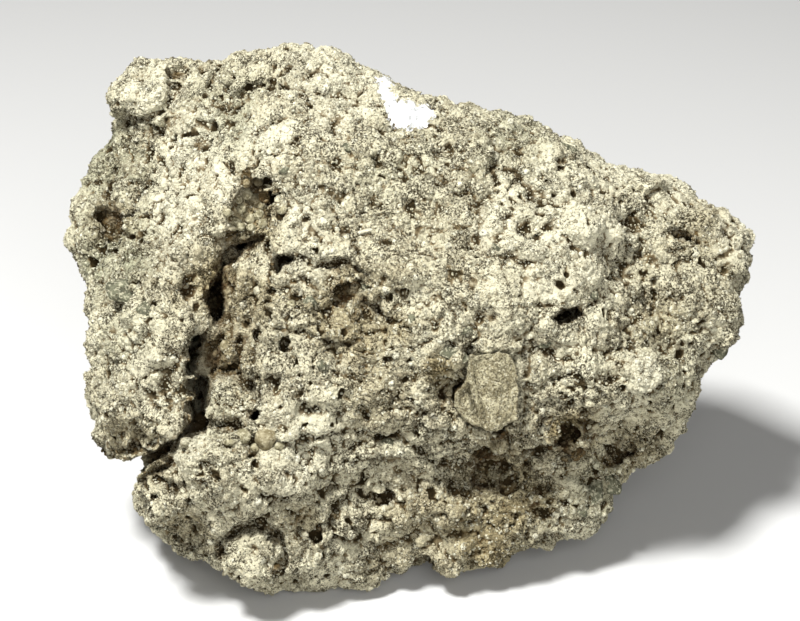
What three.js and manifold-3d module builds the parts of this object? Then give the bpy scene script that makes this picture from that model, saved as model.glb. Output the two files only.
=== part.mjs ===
// A hand-sized block of tufa: a crumbly, pitted limestone with a deep L-shaped fissure down its left
// side, a lump wedged in that fissure, and one smooth block of sandstone set in its broad face.
//
// Millimetres, +Z up. The stone is described on its broad face: u runs right across the face,
// v up it, and w out of it towards the viewer. The whole stone then leans back by LEAN, so the
// broad face looks forward (-Y) and up, and it stands on a foot worn flat underneath.

import * as THREE from "three";
import { mergeVertices } from "three/addons/utils/BufferGeometryUtils.js";
import { ImprovedNoise } from "three/addons/math/ImprovedNoise.js";
import Module from "manifold-3d";

const wasm = await Module();
wasm.setup();
const perlin = new ImprovedNoise();

// ---------------------------------------------------------------- driving dimensions

const LEAN = 28; // degrees that the broad face tips back from upright
const FRONT_DEPTH = 33; // how far the broad face swells out of the rim's plane
const BACK_DEPTH = 40; // how far the back swells the other way
const FULLNESS = 0.8; // 1 is a plain ellipsoid, less is blockier
const FOOT_LEVEL = -47.5; // height of the ground under the middle of the rim's plane
const BODY_DETAIL = 14; // 20 x (detail + 1)^2 faces in the main mass
const BODY_SIZES = [62, 52, 38]; // half sizes of the ellipsoid whose normals the roughness follows
const RIM_BAND = 0.33; // share of the way in from the rim over which swells and roughness rise to full height
const GAP = 0.3; // clearance between the sandstone block and its socket

// The rim of the broad face, anticlockwise from the right-hand lobe, as [u, v].
const RIM = [
  [71.5, 13.5], [70, 18], [65.5, 22], [59.5, 25], [53.5, 29.5], [46.5, 30.5], [41, 30.5], [37.5, 33.5],
  [31.5, 37.5], [23, 41.5], [14, 44], [5, 45.5], [-2, 48], [-7, 51.5], [-14, 55.5], [-20, 57],
  [-25, 55.5], [-31, 57], [-37, 55], [-42, 52.5], [-48, 53.5], [-54, 54.5], [-59, 52], [-60.5, 47],
  [-59.5, 43], [-63.5, 37.5], [-67.5, 31.5], [-70, 24], [-71, 15], [-67.5, 9], [-65, -2], [-64, -16],
  [-62.5, -26], [-57.5, -29], [-54.5, -31], [-56, -36], [-54.5, -40], [-48, -45], [-40.5, -49.5],
  [-35, -52.5], [-28.5, -54.5], [-20, -55.5], [-12, -54], [-4, -51.5], [2, -51], [9, -52], [15, -50.5],
  [23, -47.5], [30, -45], [38, -42.5], [42, -36.5], [46.5, -31], [53, -26.5], [56, -19], [58, -13],
  [62.5, -6.5], [66.5, 0], [67.5, 6.5],
];

// Broken faces: everything past a plane is pressed back towards it. Normal as [u, v, w].
const BROKEN_FACES = [
  { normal: [0.06, 0.34, 0.94], reach: 33 }, // upper broad face
  { normal: [0.12, -0.42, 0.9], reach: 31 }, // underside of the broad face
  { normal: [-0.48, 0.36, 0.8], reach: 42 }, // shoulder, upper left
  { normal: [0.55, 0.08, 0.83], reach: 42 }, // right-hand flank
  { normal: [0.4, -0.52, 0.75], reach: 40 }, // lower right flank
  { normal: [-0.62, -0.1, 0.78], reach: 49 }, // outer face of the left-hand block
  { normal: [-0.1, 0.2, -0.97], reach: 35 }, // back
  { normal: [0.62, 0.3, -0.72], reach: 45 }, // back, right
  { normal: [-0.7, -0.1, -0.7], reach: 49 }, // back, left
  { normal: [0, 0.82, -0.57], reach: 44 }, // back, top
];
const PRESSED = 0.85; // share of what stands past a broken face that is pressed back

// Swells (+) and hollows (-) of the broad face: middle, radii and height.
const SWELLS = [
  { at: [-18, 33], radii: [16, 12], height: 5 }, // summit
  { at: [-36, 24], radii: [14, 7], height: 5.5 }, // ridge over the fissure
  { at: [-52, 11], radii: [10, 9], height: 5 }, // where that ridge turns down
  { at: [-54, -10], radii: [10, 19], height: 7 }, // left-hand block
  { at: [14, 9], radii: [22, 15], height: 2.5 }, // middle of the broad face
  { at: [-20, -9], radii: [7, 14], height: 3 }, // edge of the broad face over the bench
  { at: [-36, -32], radii: [17, 9], height: 9 }, // lower left lobe
  { at: [-24, -48], radii: [12, 8], height: 4 }, // foot of that lobe
  { at: [60, 7], radii: [8, 15], height: 6 }, // right-hand lobe
  { at: [36, -14], radii: [14, 8], height: 4.5 }, // ledge over the undercut
  { at: [44, 13], radii: [6, 17], height: -5 }, // valley beside the right-hand lobe
  { at: [-9, 4], radii: [13, 7], height: -3.5 }, // trough left of the middle
  { at: [22, -31], radii: [26, 6], height: -7 }, // undercut below the sandstone block
  { at: [-8, -34], radii: [10, 7], height: -3 },
  { at: [-64, 30], radii: [9, 13], height: -6 }, // sunken left shoulder
  { at: [0, -45], radii: [6, 8], height: -4 },
  { at: [28, 26], radii: [12, 6], height: -2.5 },
];
// The same for the back, which nobody carved either.
const BACK_SWELLS = [
  { at: [-25, 10], radii: [20, 16], height: 5 },
  { at: [28, -12], radii: [18, 18], height: 5 },
  { at: [4, 26], radii: [16, 9], height: -6 },
  { at: [-46, -14], radii: [12, 16], height: -6 },
  { at: [50, 12], radii: [12, 10], height: -4 },
  { at: [0, -22], radii: [14, 9], height: -5 },
  { at: [4, 2], radii: [9, 7], height: 4 },
  { at: [-42, 30], radii: [9, 7], height: 4 },
  { at: [-18, -12], radii: [8, 10], height: 3.5 },
  { at: [40, 14], radii: [8, 6], height: 4 },
];

const DOME_FALL = 1.6; // how fast a swell dies away from its middle

// Relief of the surface: the size of its bumps, their height, its noise layer, and how much of the
// height is left on the rim. Billows are round lumps that meet in creases, so their zero is raised.
const BULGES = { size: 22, height: 1.6, layer: 1.3, onRim: 0.6 };
const BILLOWS = { size: 11, height: 4.4, layer: 4.7, onRim: 0.5, zero: 0.25 };
const CRUMBLE = { size: 5.2, height: 1.6, layer: 8.1 };

// The recess that the fissure lies in: its mouth on the face, clockwise from the top, as [u, v].
const RECESS = [
  [-28, 29.5], [-27, 27], [-27.4, 22.5], [-27.2, 16], [-25.2, 11.5], [-27.3, 4], [-28.6, -3],
  [-28.4, -10], [-28.6, -16], [-30.2, -20.6], [-36, -21.4], [-44.8, -25.6], [-53.4, -30.6],
  [-66, -37], [-66, -30], [-55.5, -27], [-48.7, -23.6], [-44.6, -20.6], [-43.4, -16.5], [-43.6, -10.5],
  [-43.2, -4], [-43.8, 3], [-45.4, 9], [-46.4, 13.4], [-42.6, 16], [-36.7, 18.6], [-33, 21.3],
];
const RECESS_MOUTH = 42; // w well outside the face
const RECESS_MIDDLE = -39.6; // u of its middle
const RECESS_FLOOR = 18; // w of its floor there
const RECESS_SLOPE = 0.6; // the floor falls to the left
const RECESS_TAPER = 0.3; // how far its walls close in on the fissure by the time they reach the floor
const RECESS_STEPS = 4; // rings of its walls
const RECESS_RAGGED = { size: 5, sideways: 1.1, floor: 1.2, layers: [7.4, 9.4] };

// The fissure's line, as [u, v, half width]; it runs out through the left rim.
const FISSURE = [
  [-28.4, 26, 0.7], [-29.6, 20, 1.2], [-31.6, 16.4, 1.3], [-34.6, 14, 1.4], [-37.4, 9, 1.5],
  [-38.2, 3, 1.4], [-39.6, -1.5, 1.5], [-42, -5.5, 1.9], [-41.8, -12, 1.7], [-41.7, -18.5, 1.8],
  [-43.7, -22.6, 1.8], [-49, -25.8, 2], [-56, -29.4, 2.4], [-68, -35.4, 3.4],
];
const FISSURE_FLOOR = -12; // w of its floor
const FISSURE_SLANT = -6; // the floor lies this far left of the mouth
const FISSURE_TAPER = 0.5; // share of the width left at the floor
const FISSURE_STATIONS = 28;
const FISSURE_STEPS = 6; // rings of its walls
const FISSURE_RAGGED = { size: 6, sideways: 0.8, layers: [2.2, 5.2] };

const LARGE_LUMP = 7; // lumps wider than twice this have more faces
// How rough lumps and pits are: their noise layers start at `layer` and are `apart` from one to the next.
const LUMP_ROUGHNESS = { share: 0.35, layer: 11, apart: 1.7 };
const PIT_ROUGHNESS = { share: 0.3, layer: 31, apart: 2.3 };
const KNOBS = [{ size: 0.9, share: 1, shift: 0 }, { size: 0.45, share: 0.6, shift: 9 }]; // on a pebble of radius 1

// Rounded lumps that stand out of the mass: middle, half sizes, turn about w in degrees.
const LUMPS = [
  { at: [-52, 45, 0], half: [7.8, 8.4, 11], turn: 20 }, // corner knob
  { at: [-42.5, 46.5, 1], half: [5.4, 5.6, 9], turn: 0 },
  { at: [-31, 47, 3], half: [7.4, 8, 11], turn: 8 },
  { at: [-18.5, 46, 7], half: [7.6, 8.4, 11], turn: -25 }, // summit knob
  { at: [-35, -15, 20], half: [5.7, 6, 8], turn: 12 }, // lump wedged in the fissure
  { at: [-31.4, -7, 20], half: [2.4, 4.8, 6.4], turn: -12 }, // slab above it
  { at: [-35.8, -6.6, 16], half: [2.2, 3, 6.4], turn: 10 },
  { at: [-33, 8.6, 16], half: [5, 6.4, 8.6], turn: -14 }, // block of the bench
  { at: [-31, -47, 15.5], half: [6.4, 5.6, 6.4], turn: -30 }, // cobble in the foot of the lobe
  { at: [-46.5, -33, 19], half: [8.4, 5.6, 9], turn: 14 }, // shelf on top of the lobe
  { at: [-33, -27, 22], half: [8.4, 4.4, 7.4], turn: 20 },
  { at: [-21.5, 6.9, 27], half: [4.6, 3.4, 5], turn: 10 }, // bosses of the broad face
  { at: [-16.5, -21, 25], half: [5, 4.2, 5.4], turn: 30 },
  { at: [4, 25, 25], half: [6, 4.4, 5], turn: -20 },
  { at: [24, 11, 24], half: [6, 4, 5], turn: 15 },
  { at: [44, -10.5, 21], half: [5.6, 4.8, 5.4], turn: 30 },
  { at: [61.5, 13, 4], half: [7.5, 8, 9], turn: 0 }, // rim of the right-hand lobe
  { at: [59, -3, 6], half: [7, 6.6, 8.6], turn: 20 },
  { at: [-62.5, 17, 1], half: [6.4, 8, 9], turn: 8 }, // ear on the left
  { at: [-55.5, -20.5, 12], half: [6.2, 5.6, 9], turn: -20 }, // toe of the left-hand block
];

// Pits and slits: middle, half sizes, turn about w in degrees. All but the slits are shallow.
const PITS = [
  { at: [31.3, -22.5, 19.6], half: [5, 2.6, 5.4], turn: 25 }, // crumbly hollows of the undercut
  { at: [17.5, -30.5, 15.2], half: [5, 2.4, 4.4], turn: -10 },
  { at: [14.6, -25.6, 20], half: [3.4, 2.2, 4.4], turn: 0 },
  { at: [8.6, -30, 17.4], half: [3, 2.4, 4.4], turn: 20 },
  { at: [24.5, -26.5, 18.4], half: [3.6, 2.2, 4.4], turn: 0 },
  { at: [42, -27.4, 11.8], half: [4, 2.4, 4.4], turn: 30 },
  { at: [-18.4, -41.7, 21], half: [1.6, 2.4, 4], turn: 10 },
  { at: [30.2, 0.5, 23], half: [3.7, 1.3, 9], turn: 26 }, // slit right of the middle
  { at: [-12.6, 4.9, 32.6], half: [2.4, 1.8, 4], turn: 0 },
  { at: [54.6, 16.6, 17], half: [2.4, 1.4, 4], turn: -20 }, // hollows of the right-hand lobe
  { at: [53.1, 9.6, 18.6], half: [1.2, 2.6, 3.4], turn: 0 },
  { at: [-24.6, 12, 29], half: [2.6, 0.9, 7], turn: 8 }, // slit at the edge of the bench
  { at: [-24, -4, 32.6], half: [1.2, 1.8, 4], turn: 0 },
  { at: [2, -49.5, 6], half: [3.6, 3.4, 8], turn: 30 }, // notch in the lower rim
  { at: [-59.5, 20.5, 7.6], half: [4, 6, 4.6], turn: 0 }, // pocket behind the ear
];

// The sandstone block: a main part and a chipped corner that is lower. Their outlines on the face
// round the block's middle, clockwise from the top right, as [u, v].
const BLOCK_AT = [14.7, -12.6];
const BLOCK_MAIN = [
  [3.6, 6.6], [5.5, 4.3], [6, 0], [6, -6.2], [2.7, -8.6], [-1, -8.3], [-3.4, 1], [-3.6, 5.9],
];
const BLOCK_CHIP = [
  [-1, 2], [1, -8], [-0.8, -8.3], [-4.5, -6.5], [-6.2, -4.1], [-6, -1.3], [-3.6, 1.4],
];
const BLOCK_ROOT = 18; // w of its buried end
const BLOCK_FACE = 31.6; // w of the middle of its outer face
const CHIP_DROP = 1.6; // the chipped corner is this much lower
const BLOCK_SLOPE = 0.25; // the outer face falls away downwards, as the broad face does there
const BLOCK_BEVEL = 1.1;
const BLOCK_STEPS = 3; // rings of its sides
const BLOCK_ROUGHNESS = { size: 4, height: 0.3, layer: 3.3 };

const RIM_SAMPLES = 40; // points between two corners of the rim
const RECESS_CORNERS = 48;
const GROUND = { side: 400, thickness: 100 };
const WELD = 1e-4; // vertices closer than this are one
const COLOURS = { tufa: 0xc9c3a3, sandstone: 0xb5a988 };

// ---------------------------------------------------------------- helpers

/** Perlin noise of about -1 to 1 with features of the given size; each layer has its own seed. */
function noiseAt(point, size, seed) {
  return perlin.noise(point.x / size + seed, point.y / size - 2 * seed, point.z / size + 3 * seed);
}

/** Catmull-Rom curve through a list of points given as arrays of two or three numbers. */
function curveThrough(points, closed) {
  const corners = points.map(([x, y, z = 0]) => new THREE.Vector3(x, y, z));
  return new THREE.CatmullRomCurve3(corners, closed, "centripetal");
}

/** Moves every vertex of a geometry to where move(point) puts it. */
function reshape(geometry, move) {
  const position = geometry.getAttribute("position");
  const point = new THREE.Vector3();
  for (let i = 0; i < position.count; i++) {
    move(point.fromBufferAttribute(position, i));
    position.setXYZ(i, point.x, point.y, point.z);
  }
  return geometry;
}

/** A closed three.js geometry as a solid. */
function solidOf(geometry) {
  const bare = geometry.clone();
  bare.deleteAttribute("normal");
  bare.deleteAttribute("uv");
  const merged = mergeVertices(bare, WELD);
  return new wasm.Manifold(
    new wasm.Mesh({
      numProp: 3, // x, y and z
      vertProperties: merged.attributes.position.array,
      triVerts: new Uint32Array(merged.index.array),
    }),
  );
}

/** A solid as a three.js geometry. */
function geometryOf(solid) {
  const mesh = solid.getMesh();
  return new THREE.BufferGeometry()
    .setAttribute("position", new THREE.BufferAttribute(mesh.vertProperties, 3))
    .setIndex(new THREE.BufferAttribute(mesh.triVerts, 1));
}

// ---------------------------------------------------------------- the main mass

/** Radius of the rim for each degree round its middle. */
function rimRadii() {
  const radii = new Float32Array(360);
  for (const point of curveThrough(RIM, true).getPoints(RIM.length * RIM_SAMPLES)) {
    const degree = Math.round(THREE.MathUtils.radToDeg(Math.atan2(point.y, point.x)) + 360) % 360;
    radii[degree] = Math.max(radii[degree], Math.hypot(point.x, point.y));
  }
  return radii;
}
const rim = rimRadii();

function rimRadiusAt(angle) {
  const degree = (THREE.MathUtils.radToDeg(angle) + 360) % 360;
  const below = Math.floor(degree);
  return THREE.MathUtils.lerp(rim[below % 360], rim[(below + 1) % 360], degree - below);
}

/** Sum of the swells over a point of the face: a soft dome or bowl for each. */
function reliefAt(point, swells) {
  let total = 0;
  for (const { at, radii, height } of swells) {
    const far = Math.hypot((point.x - at[0]) / radii[0], (point.y - at[1]) / radii[1]);
    total += height * Math.exp(-DOME_FALL * far * far);
  }
  return total;
}

/** How far the surface stands out at a point because the rock is lumpy and crumbling. */
function roughnessAt(point, inside) {
  const shareOf = ({ onRim }) => THREE.MathUtils.lerp(onRim, 1, inside);
  const layerAt = ({ size, layer }) => noiseAt(point, size, layer);
  const bulges = BULGES.height * shareOf(BULGES) * layerAt(BULGES);
  const billows = BILLOWS.height * shareOf(BILLOWS) * (Math.abs(layerAt(BILLOWS)) - BILLOWS.zero);
  return bulges + billows + CRUMBLE.height * layerAt(CRUMBLE);
}

/** Takes a point of the unit sphere to its place on the stone. */
function placeOnStone(point) {
  const front = point.z > 0;
  const facing = Math.abs(point.z); // 1 at the middle of the front or the back, 0 on the rim
  const inside = THREE.MathUtils.smoothstep(facing, 0, RIM_BAND);
  const outward = point.clone().divide(new THREE.Vector3(...BODY_SIZES)).normalize();
  const angle = Math.atan2(point.y, point.x);
  const spread = rimRadiusAt(angle) * Math.hypot(point.x, point.y) ** FULLNESS;
  const depth = (front ? FRONT_DEPTH : -BACK_DEPTH) * facing ** FULLNESS;
  point.set(spread * Math.cos(angle), spread * Math.sin(angle), depth);
  for (const { normal, reach } of BROKEN_FACES) {
    const faceNormal = new THREE.Vector3(...normal).normalize();
    const past = point.dot(faceNormal) - reach;
    if (past > 0) point.addScaledVector(faceNormal, -PRESSED * past);
  }
  point.z += inside * (front ? reliefAt(point, SWELLS) : -reliefAt(point, BACK_SWELLS));
  point.addScaledVector(outward, roughnessAt(point, inside));
}

function mainMass() {
  return solidOf(reshape(new THREE.IcosahedronGeometry(1, BODY_DETAIL), placeOnStone));
}

// ---------------------------------------------------------------- lumps, pits and the fissure

/** A rough, pebble-like solid; pits are cut with the same shape. */
function pebble({ at, half, turn }, detail, roughness, index) {
  const geometry = new THREE.IcosahedronGeometry(1, detail);
  const layer = roughness.layer + roughness.apart * index;
  reshape(geometry, (point) => {
    const knobAt = ({ size, share, shift }) => share * noiseAt(point, size, layer + shift);
    const knobbly = KNOBS.map(knobAt).reduce((total, knob) => total + knob);
    point.multiplyScalar(1 + roughness.share * knobbly);
  });
  geometry.scale(...half);
  geometry.rotateZ(THREE.MathUtils.degToRad(turn));
  geometry.translate(...at);
  return solidOf(geometry);
}

/** The point of a line of stations that lies nearest to a point of the face. */
function nearestTo(point, stations) {
  const distance = (station) => Math.hypot(station.x - point.x, station.y - point.y);
  return stations.reduce((best, station) => (distance(station) < distance(best) ? station : best));
}

const fissureLine = curveThrough(FISSURE, false).getPoints(FISSURE_STATIONS);

/** The fissure as a rough blade that narrows and slants left as it goes in. */
function fissureBlade() {
  const left = [];
  const right = [];
  fissureLine.forEach((here, i) => {
    const before = fissureLine[Math.max(i - 1, 0)];
    const after = fissureLine[Math.min(i + 1, fissureLine.length - 1)];
    const across = new THREE.Vector2(after.y - before.y, before.x - after.x).normalize();
    left.push(new THREE.Vector2(here.x, here.y).addScaledVector(across, here.z));
    right.unshift(new THREE.Vector2(here.x, here.y).addScaledVector(across, -here.z));
  });
  const deep = RECESS_MOUTH - FISSURE_FLOOR;
  const blade = new THREE.ExtrudeGeometry(new THREE.Shape([...left, ...right]), {
    depth: deep,
    steps: FISSURE_STEPS,
    bevelEnabled: false,
  });
  const { size, sideways, layers } = FISSURE_RAGGED;
  reshape(blade, (point) => {
    const sunk = 1 - point.z / deep; // 0 at the mouth, 1 at the floor
    const middle = nearestTo(point, fissureLine);
    const kept = 1 - (1 - FISSURE_TAPER) * sunk;
    point.x = middle.x + (point.x - middle.x) * kept + FISSURE_SLANT * sunk ** 2;
    point.y = middle.y + (point.y - middle.y) * kept;
    point.x += sideways * noiseAt(point, size, layers[0]);
    point.y += sideways * noiseAt(point, size, layers[1]);
    point.z += FISSURE_FLOOR;
  });
  return solidOf(blade);
}

/** The recess round the fissure: steep ragged walls and a floor that falls to the left. */
function recess() {
  const mouth = curveThrough(RECESS, true).getPoints(RECESS_CORNERS);
  mouth.pop(); // the last corner is the first one again
  const deep = RECESS_MOUTH - RECESS_FLOOR;
  const hollow = new THREE.ExtrudeGeometry(new THREE.Shape(mouth), {
    depth: deep,
    steps: RECESS_STEPS,
    bevelEnabled: false,
  });
  const { size, sideways, floor, layers } = RECESS_RAGGED;
  reshape(hollow, (point) => {
    const sunk = 1 - point.z / deep; // 0 at the mouth, 1 at the floor
    const middle = nearestTo(point, fissureLine);
    const closing = RECESS_TAPER * THREE.MathUtils.smoothstep(sunk, 0.5, 1);
    const ragged = noiseAt(point, size, layers[0]);
    point.x += (middle.x - point.x) * closing + sideways * ragged;
    point.y += (middle.y - point.y) * closing + sideways * noiseAt(point, size, layers[1]);
    const level = RECESS_FLOOR + RECESS_SLOPE * (point.x - RECESS_MIDDLE);
    point.z = THREE.MathUtils.lerp(RECESS_MOUTH, level, sunk) + floor * ragged * sunk;
  });
  return solidOf(hollow);
}

// ---------------------------------------------------------------- the sandstone block

/** One part of the block, from its root out to the given level, grown by a margin all round. */
function blockPart(outline, level, margin) {
  const grown = outline.map(([u, v]) => {
    return new THREE.Vector2(u, v).multiplyScalar(1 + margin / Math.hypot(u, v));
  });
  const geometry = new THREE.ExtrudeGeometry(new THREE.Shape(grown), {
    depth: level - BLOCK_ROOT - 2 * BLOCK_BEVEL + 2 * margin,
    steps: BLOCK_STEPS,
    bevelThickness: BLOCK_BEVEL,
    bevelSize: BLOCK_BEVEL,
    bevelOffset: -BLOCK_BEVEL,
    bevelSegments: 2,
  });
  geometry.translate(BLOCK_AT[0], BLOCK_AT[1], BLOCK_ROOT + BLOCK_BEVEL - margin);
  const { size, height, layer } = BLOCK_ROUGHNESS;
  return reshape(geometry, (point) => {
    const outward = (point.z - BLOCK_ROOT) / (level - BLOCK_ROOT); // 0 at the root, 1 outside
    point.z += outward * BLOCK_SLOPE * (point.y - BLOCK_AT[1]) + height * noiseAt(point, size, layer);
  });
}

/** The whole block: no margin for the block itself, GAP for its socket. */
function sandstoneBlock(margin) {
  const main = solidOf(blockPart(BLOCK_MAIN, BLOCK_FACE, margin));
  const chip = solidOf(blockPart(BLOCK_CHIP, BLOCK_FACE - CHIP_DROP, margin));
  return main.add(chip);
}

// ---------------------------------------------------------------- the stone put together

const leaning = new THREE.Matrix4().makeRotationX(THREE.MathUtils.degToRad(90 - LEAN));

/** Everything below the ground, in the face's own frame. */
function ground() {
  const box = new THREE.BoxGeometry(GROUND.side, GROUND.side, GROUND.thickness);
  box.translate(0, 0, FOOT_LEVEL - GROUND.thickness / 2);
  box.applyMatrix4(leaning.clone().invert());
  return solidOf(box);
}

/** The tufa as one solid: mass, recess, fissure, lumps, pits, socket and foot. */
function tufa() {
  let stone = mainMass().subtract(recess()).subtract(fissureBlade());
  LUMPS.forEach((lump, i) => {
    const detail = lump.half[0] > LARGE_LUMP ? 2 : 1;
    stone = stone.add(pebble(lump, detail, LUMP_ROUGHNESS, i));
  });
  PITS.forEach((pit, i) => {
    stone = stone.subtract(pebble(pit, 1, PIT_ROUGHNESS, i));
  });
  stone = stone.subtract(sandstoneBlock(GAP)).subtract(ground());
  const pieces = stone.decompose();
  return pieces.reduce((most, piece) => (piece.volume() > most.volume() ? piece : most));
}

function stoneMesh(name, geometry, color) {
  geometry.computeVertexNormals();
  const material = new THREE.MeshStandardMaterial({ color, roughness: 1, metalness: 0 });
  const mesh = new THREE.Mesh(geometry, material);
  mesh.name = name;
  return mesh;
}

const stone = new THREE.Group();
stone.add(stoneMesh("tufa_body", geometryOf(tufa()), COLOURS.tufa));
stone.add(stoneMesh("sandstone_block", geometryOf(sandstoneBlock(0)), COLOURS.sandstone));
stone.applyMatrix4(leaning);

// The origin is on the ground under the middle of the stone's box.
const box = new THREE.Box3().setFromObject(stone, true);
const middle = box.getCenter(new THREE.Vector3());
stone.position.set(-middle.x, -middle.y, -box.min.z);

const specimen = new THREE.Group();
specimen.add(stone);

export default specimen;
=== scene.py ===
# %% [markdown]
# # A block of tufa
# Tufa is a limestone that grows round moss, grit and shells in lime-rich springs, so it is crumbly, full
# of holes and covered in grains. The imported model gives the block's mass, its fissure and the sandstone
# block set in its face. This lesson dresses it: finer relief, grains, pebbles, a patch of white paint and
# the colours of old lime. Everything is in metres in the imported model's own frame, so no piece has to be
# moved afterwards.

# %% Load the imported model
import bpy
import math
import numpy as np
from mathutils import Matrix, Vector
from mathutils.bvhtree import BVHTree
from mathutils.kdtree import KDTree


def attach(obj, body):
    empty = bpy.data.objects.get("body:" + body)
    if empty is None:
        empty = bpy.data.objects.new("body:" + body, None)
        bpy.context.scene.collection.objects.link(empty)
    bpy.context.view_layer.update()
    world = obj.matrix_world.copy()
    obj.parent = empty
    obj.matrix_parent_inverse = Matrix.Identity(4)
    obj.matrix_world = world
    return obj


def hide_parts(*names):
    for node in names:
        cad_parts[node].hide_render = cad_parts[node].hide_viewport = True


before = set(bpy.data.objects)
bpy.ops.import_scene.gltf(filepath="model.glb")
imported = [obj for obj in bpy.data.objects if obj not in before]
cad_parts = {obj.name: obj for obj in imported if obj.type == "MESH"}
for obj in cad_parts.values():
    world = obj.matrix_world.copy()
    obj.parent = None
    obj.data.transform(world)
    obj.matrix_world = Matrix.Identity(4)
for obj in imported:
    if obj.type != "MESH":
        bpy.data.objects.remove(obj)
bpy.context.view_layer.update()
MM = 0.001

# %% [markdown]
# ## A frame for the broad face
# The stone leans back, and its features were measured on its broad face. It helps to speak of them as
# they lie there: u to the right, v up the face, w out of it. Two small helpers go from that frame to the
# world and back.

# %% The face's frame
LEAN = math.radians(28)
FACE_MIDDLE = np.array([0.653, 1.204, 47.5])
FACE_AXES = np.array([
    [1, 0, 0],
    [0, math.sin(LEAN), math.cos(LEAN)],
    [0, -math.cos(LEAN), math.sin(LEAN)],
])
OUTWARD = Vector(FACE_AXES[2])


def on_stone(u, v, w):
    """Where a point of the face's frame, in millimetres, is in the world, in metres."""
    return Vector((FACE_MIDDLE + np.array([u, v, w]) @ FACE_AXES) * MM)


def face_places(points):
    """World points in metres as millimetres of u, v and w."""
    return (np.asarray(points) / MM - FACE_MIDDLE) @ FACE_AXES.T


# %% [markdown]
# ## Camera
# The camera looks square at the broad face from about 46 cm with a 100 mm lens, as a collector's picture
# of a hand specimen is taken. A long lens keeps the near parts from swelling.

# %% Camera
EYE = np.array([-2.06, 1.96, 458])
scene = bpy.context.scene
bpy.ops.object.camera_add(location=on_stone(*EYE), rotation=(math.pi / 2 - LEAN, 0, 0))
camera = bpy.context.object
camera.name = "camera"
camera.data.lens = 100
camera.data.sensor_width = 36
scene.camera = camera
print("camera at", [round(c, 3) for c in camera.location])

# %% [markdown]
# ## Noise to shape with
# Stone is never regular, so most of its relief comes from noise. Blender's textures would do, but arrays
# of numbers are easier to mask and mix. `rolling` gives soft hills, and `cobbles` gives round domes that
# meet in creases, which is how a crust of grains and nodules looks.

# %% Noise
CELL_FACTORS = (374761393, 668265263, 1442695041)  # large odd numbers, so that neighbouring cells differ
SEED_FACTOR = 974634777
MIX_FACTOR = 1274126177
LOW_BITS = 0xFFFFFFFF


def scramble(cells, seed):
    """A repeatable number from 0 to 1 for each cell of a grid."""
    mixed = sum(cells[..., k] * factor for k, factor in enumerate(CELL_FACTORS)) + seed * SEED_FACTOR
    mixed = (mixed & LOW_BITS) ^ ((mixed & LOW_BITS) >> 13)
    mixed = (mixed * MIX_FACTOR) & LOW_BITS
    return ((mixed ^ (mixed >> 16)) & 0xFFFF) / 65535.0


def rolling(points, size, seed):
    """Soft hills and dips of the given size, from about -1 to 1."""
    total = np.zeros(len(points))
    for octave, share in ((1.0, 0.65), (0.5, 0.35)):
        grid = points / (size * octave) + seed * 7.31
        corner = np.floor(grid).astype(np.int64)
        part = grid - corner
        part = part * part * (3 - 2 * part)
        value = np.zeros(len(points))
        for step in np.ndindex(2, 2, 2):
            weight = np.prod(np.where(np.array(step), part, 1 - part), axis=1)
            value += weight * scramble(corner + np.array(step), seed + int(octave * 10))
        total += share * (2 * value - 1)
    return 1.6 * total


def cobbles(points, size, seed):
    """Domes of about the given size, 1 on top and 0 in the creases between, and each dome's own number."""
    grid = points / size + seed * 3.17
    corner = np.floor(grid).astype(np.int64)
    nearest = np.full(len(points), 9.0)
    second = np.full(len(points), 9.0)
    own = np.zeros(len(points))
    for step in np.ndindex(3, 3, 3):
        cell = corner + np.array(step) - 1
        middle = cell + np.stack([scramble(cell, seed + k) for k in (1, 2, 3)], axis=1)
        gap = np.linalg.norm(grid - middle, axis=1)
        closer = gap < nearest
        second = np.where(closer, nearest, np.minimum(second, gap))
        own = np.where(closer, scramble(cell, seed + 4), own)
        nearest = np.where(closer, gap, nearest)
    dome = np.clip((second - nearest) * 1.6, 0, 1) ** 0.6 * (1 - 0.5 * nearest)
    return dome, own


def soft_step(value, low, high):
    """0 up to the low value, 1 from the high one, and a smooth rise between."""
    part = np.clip((value - low) / (high - low), 0, 1)
    return part * part * (3 - 2 * part)


def from_stretch(points, start, end):
    """How far points are from a straight stretch, in its own units."""
    along = end - start
    part = np.clip((points - start) @ along / (along @ along), 0, 1)
    return np.linalg.norm(points - start - part[:, None] * along, axis=1)


def inside_by(points, outline):
    """How far points are inside a closed outline, in its own units. It is less than 0 outside."""
    nearest = np.full(len(points), 1e9)
    inside = np.zeros(len(points), dtype=bool)
    for start, end in zip(outline, np.roll(outline, -1, axis=0)):
        nearest = np.minimum(nearest, from_stretch(points, start, end))
        crosses = (start[1] > points[:, 1]) != (end[1] > points[:, 1])
        if end[1] != start[1]:
            meets_at = start[0] + (points[:, 1] - start[1]) / (end[1] - start[1]) * (end - start)[0]
            inside ^= crosses & (points[:, 0] < meets_at)
    return np.where(inside, nearest, -nearest)


# %% [markdown]
# ## Handling meshes
# Operators act on whatever is selected, so each helper first picks what it works on. Reading and writing
# all the vertices at once as an array is what makes fine relief on a big mesh quick.

# %% Handling meshes
def deselect():
    bpy.ops.object.select_all(action="DESELECT")


def pick(thing, *more):
    """Selects the given objects alone and makes the first one active."""
    deselect()
    for one in (thing, *more):
        one.select_set(True)
    bpy.context.view_layer.objects.active = thing


def copy_of(node, name):
    """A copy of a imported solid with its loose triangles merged."""
    copy = bpy.data.objects.new(name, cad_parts[node].data.copy())
    scene.collection.objects.link(copy)
    copy.data.materials.clear()
    pick(copy)
    bpy.ops.object.mode_set(mode="EDIT")
    bpy.ops.mesh.select_all(action="SELECT")
    bpy.ops.mesh.remove_doubles(threshold=2e-6)
    bpy.ops.object.mode_set(mode="OBJECT")
    return copy


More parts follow.
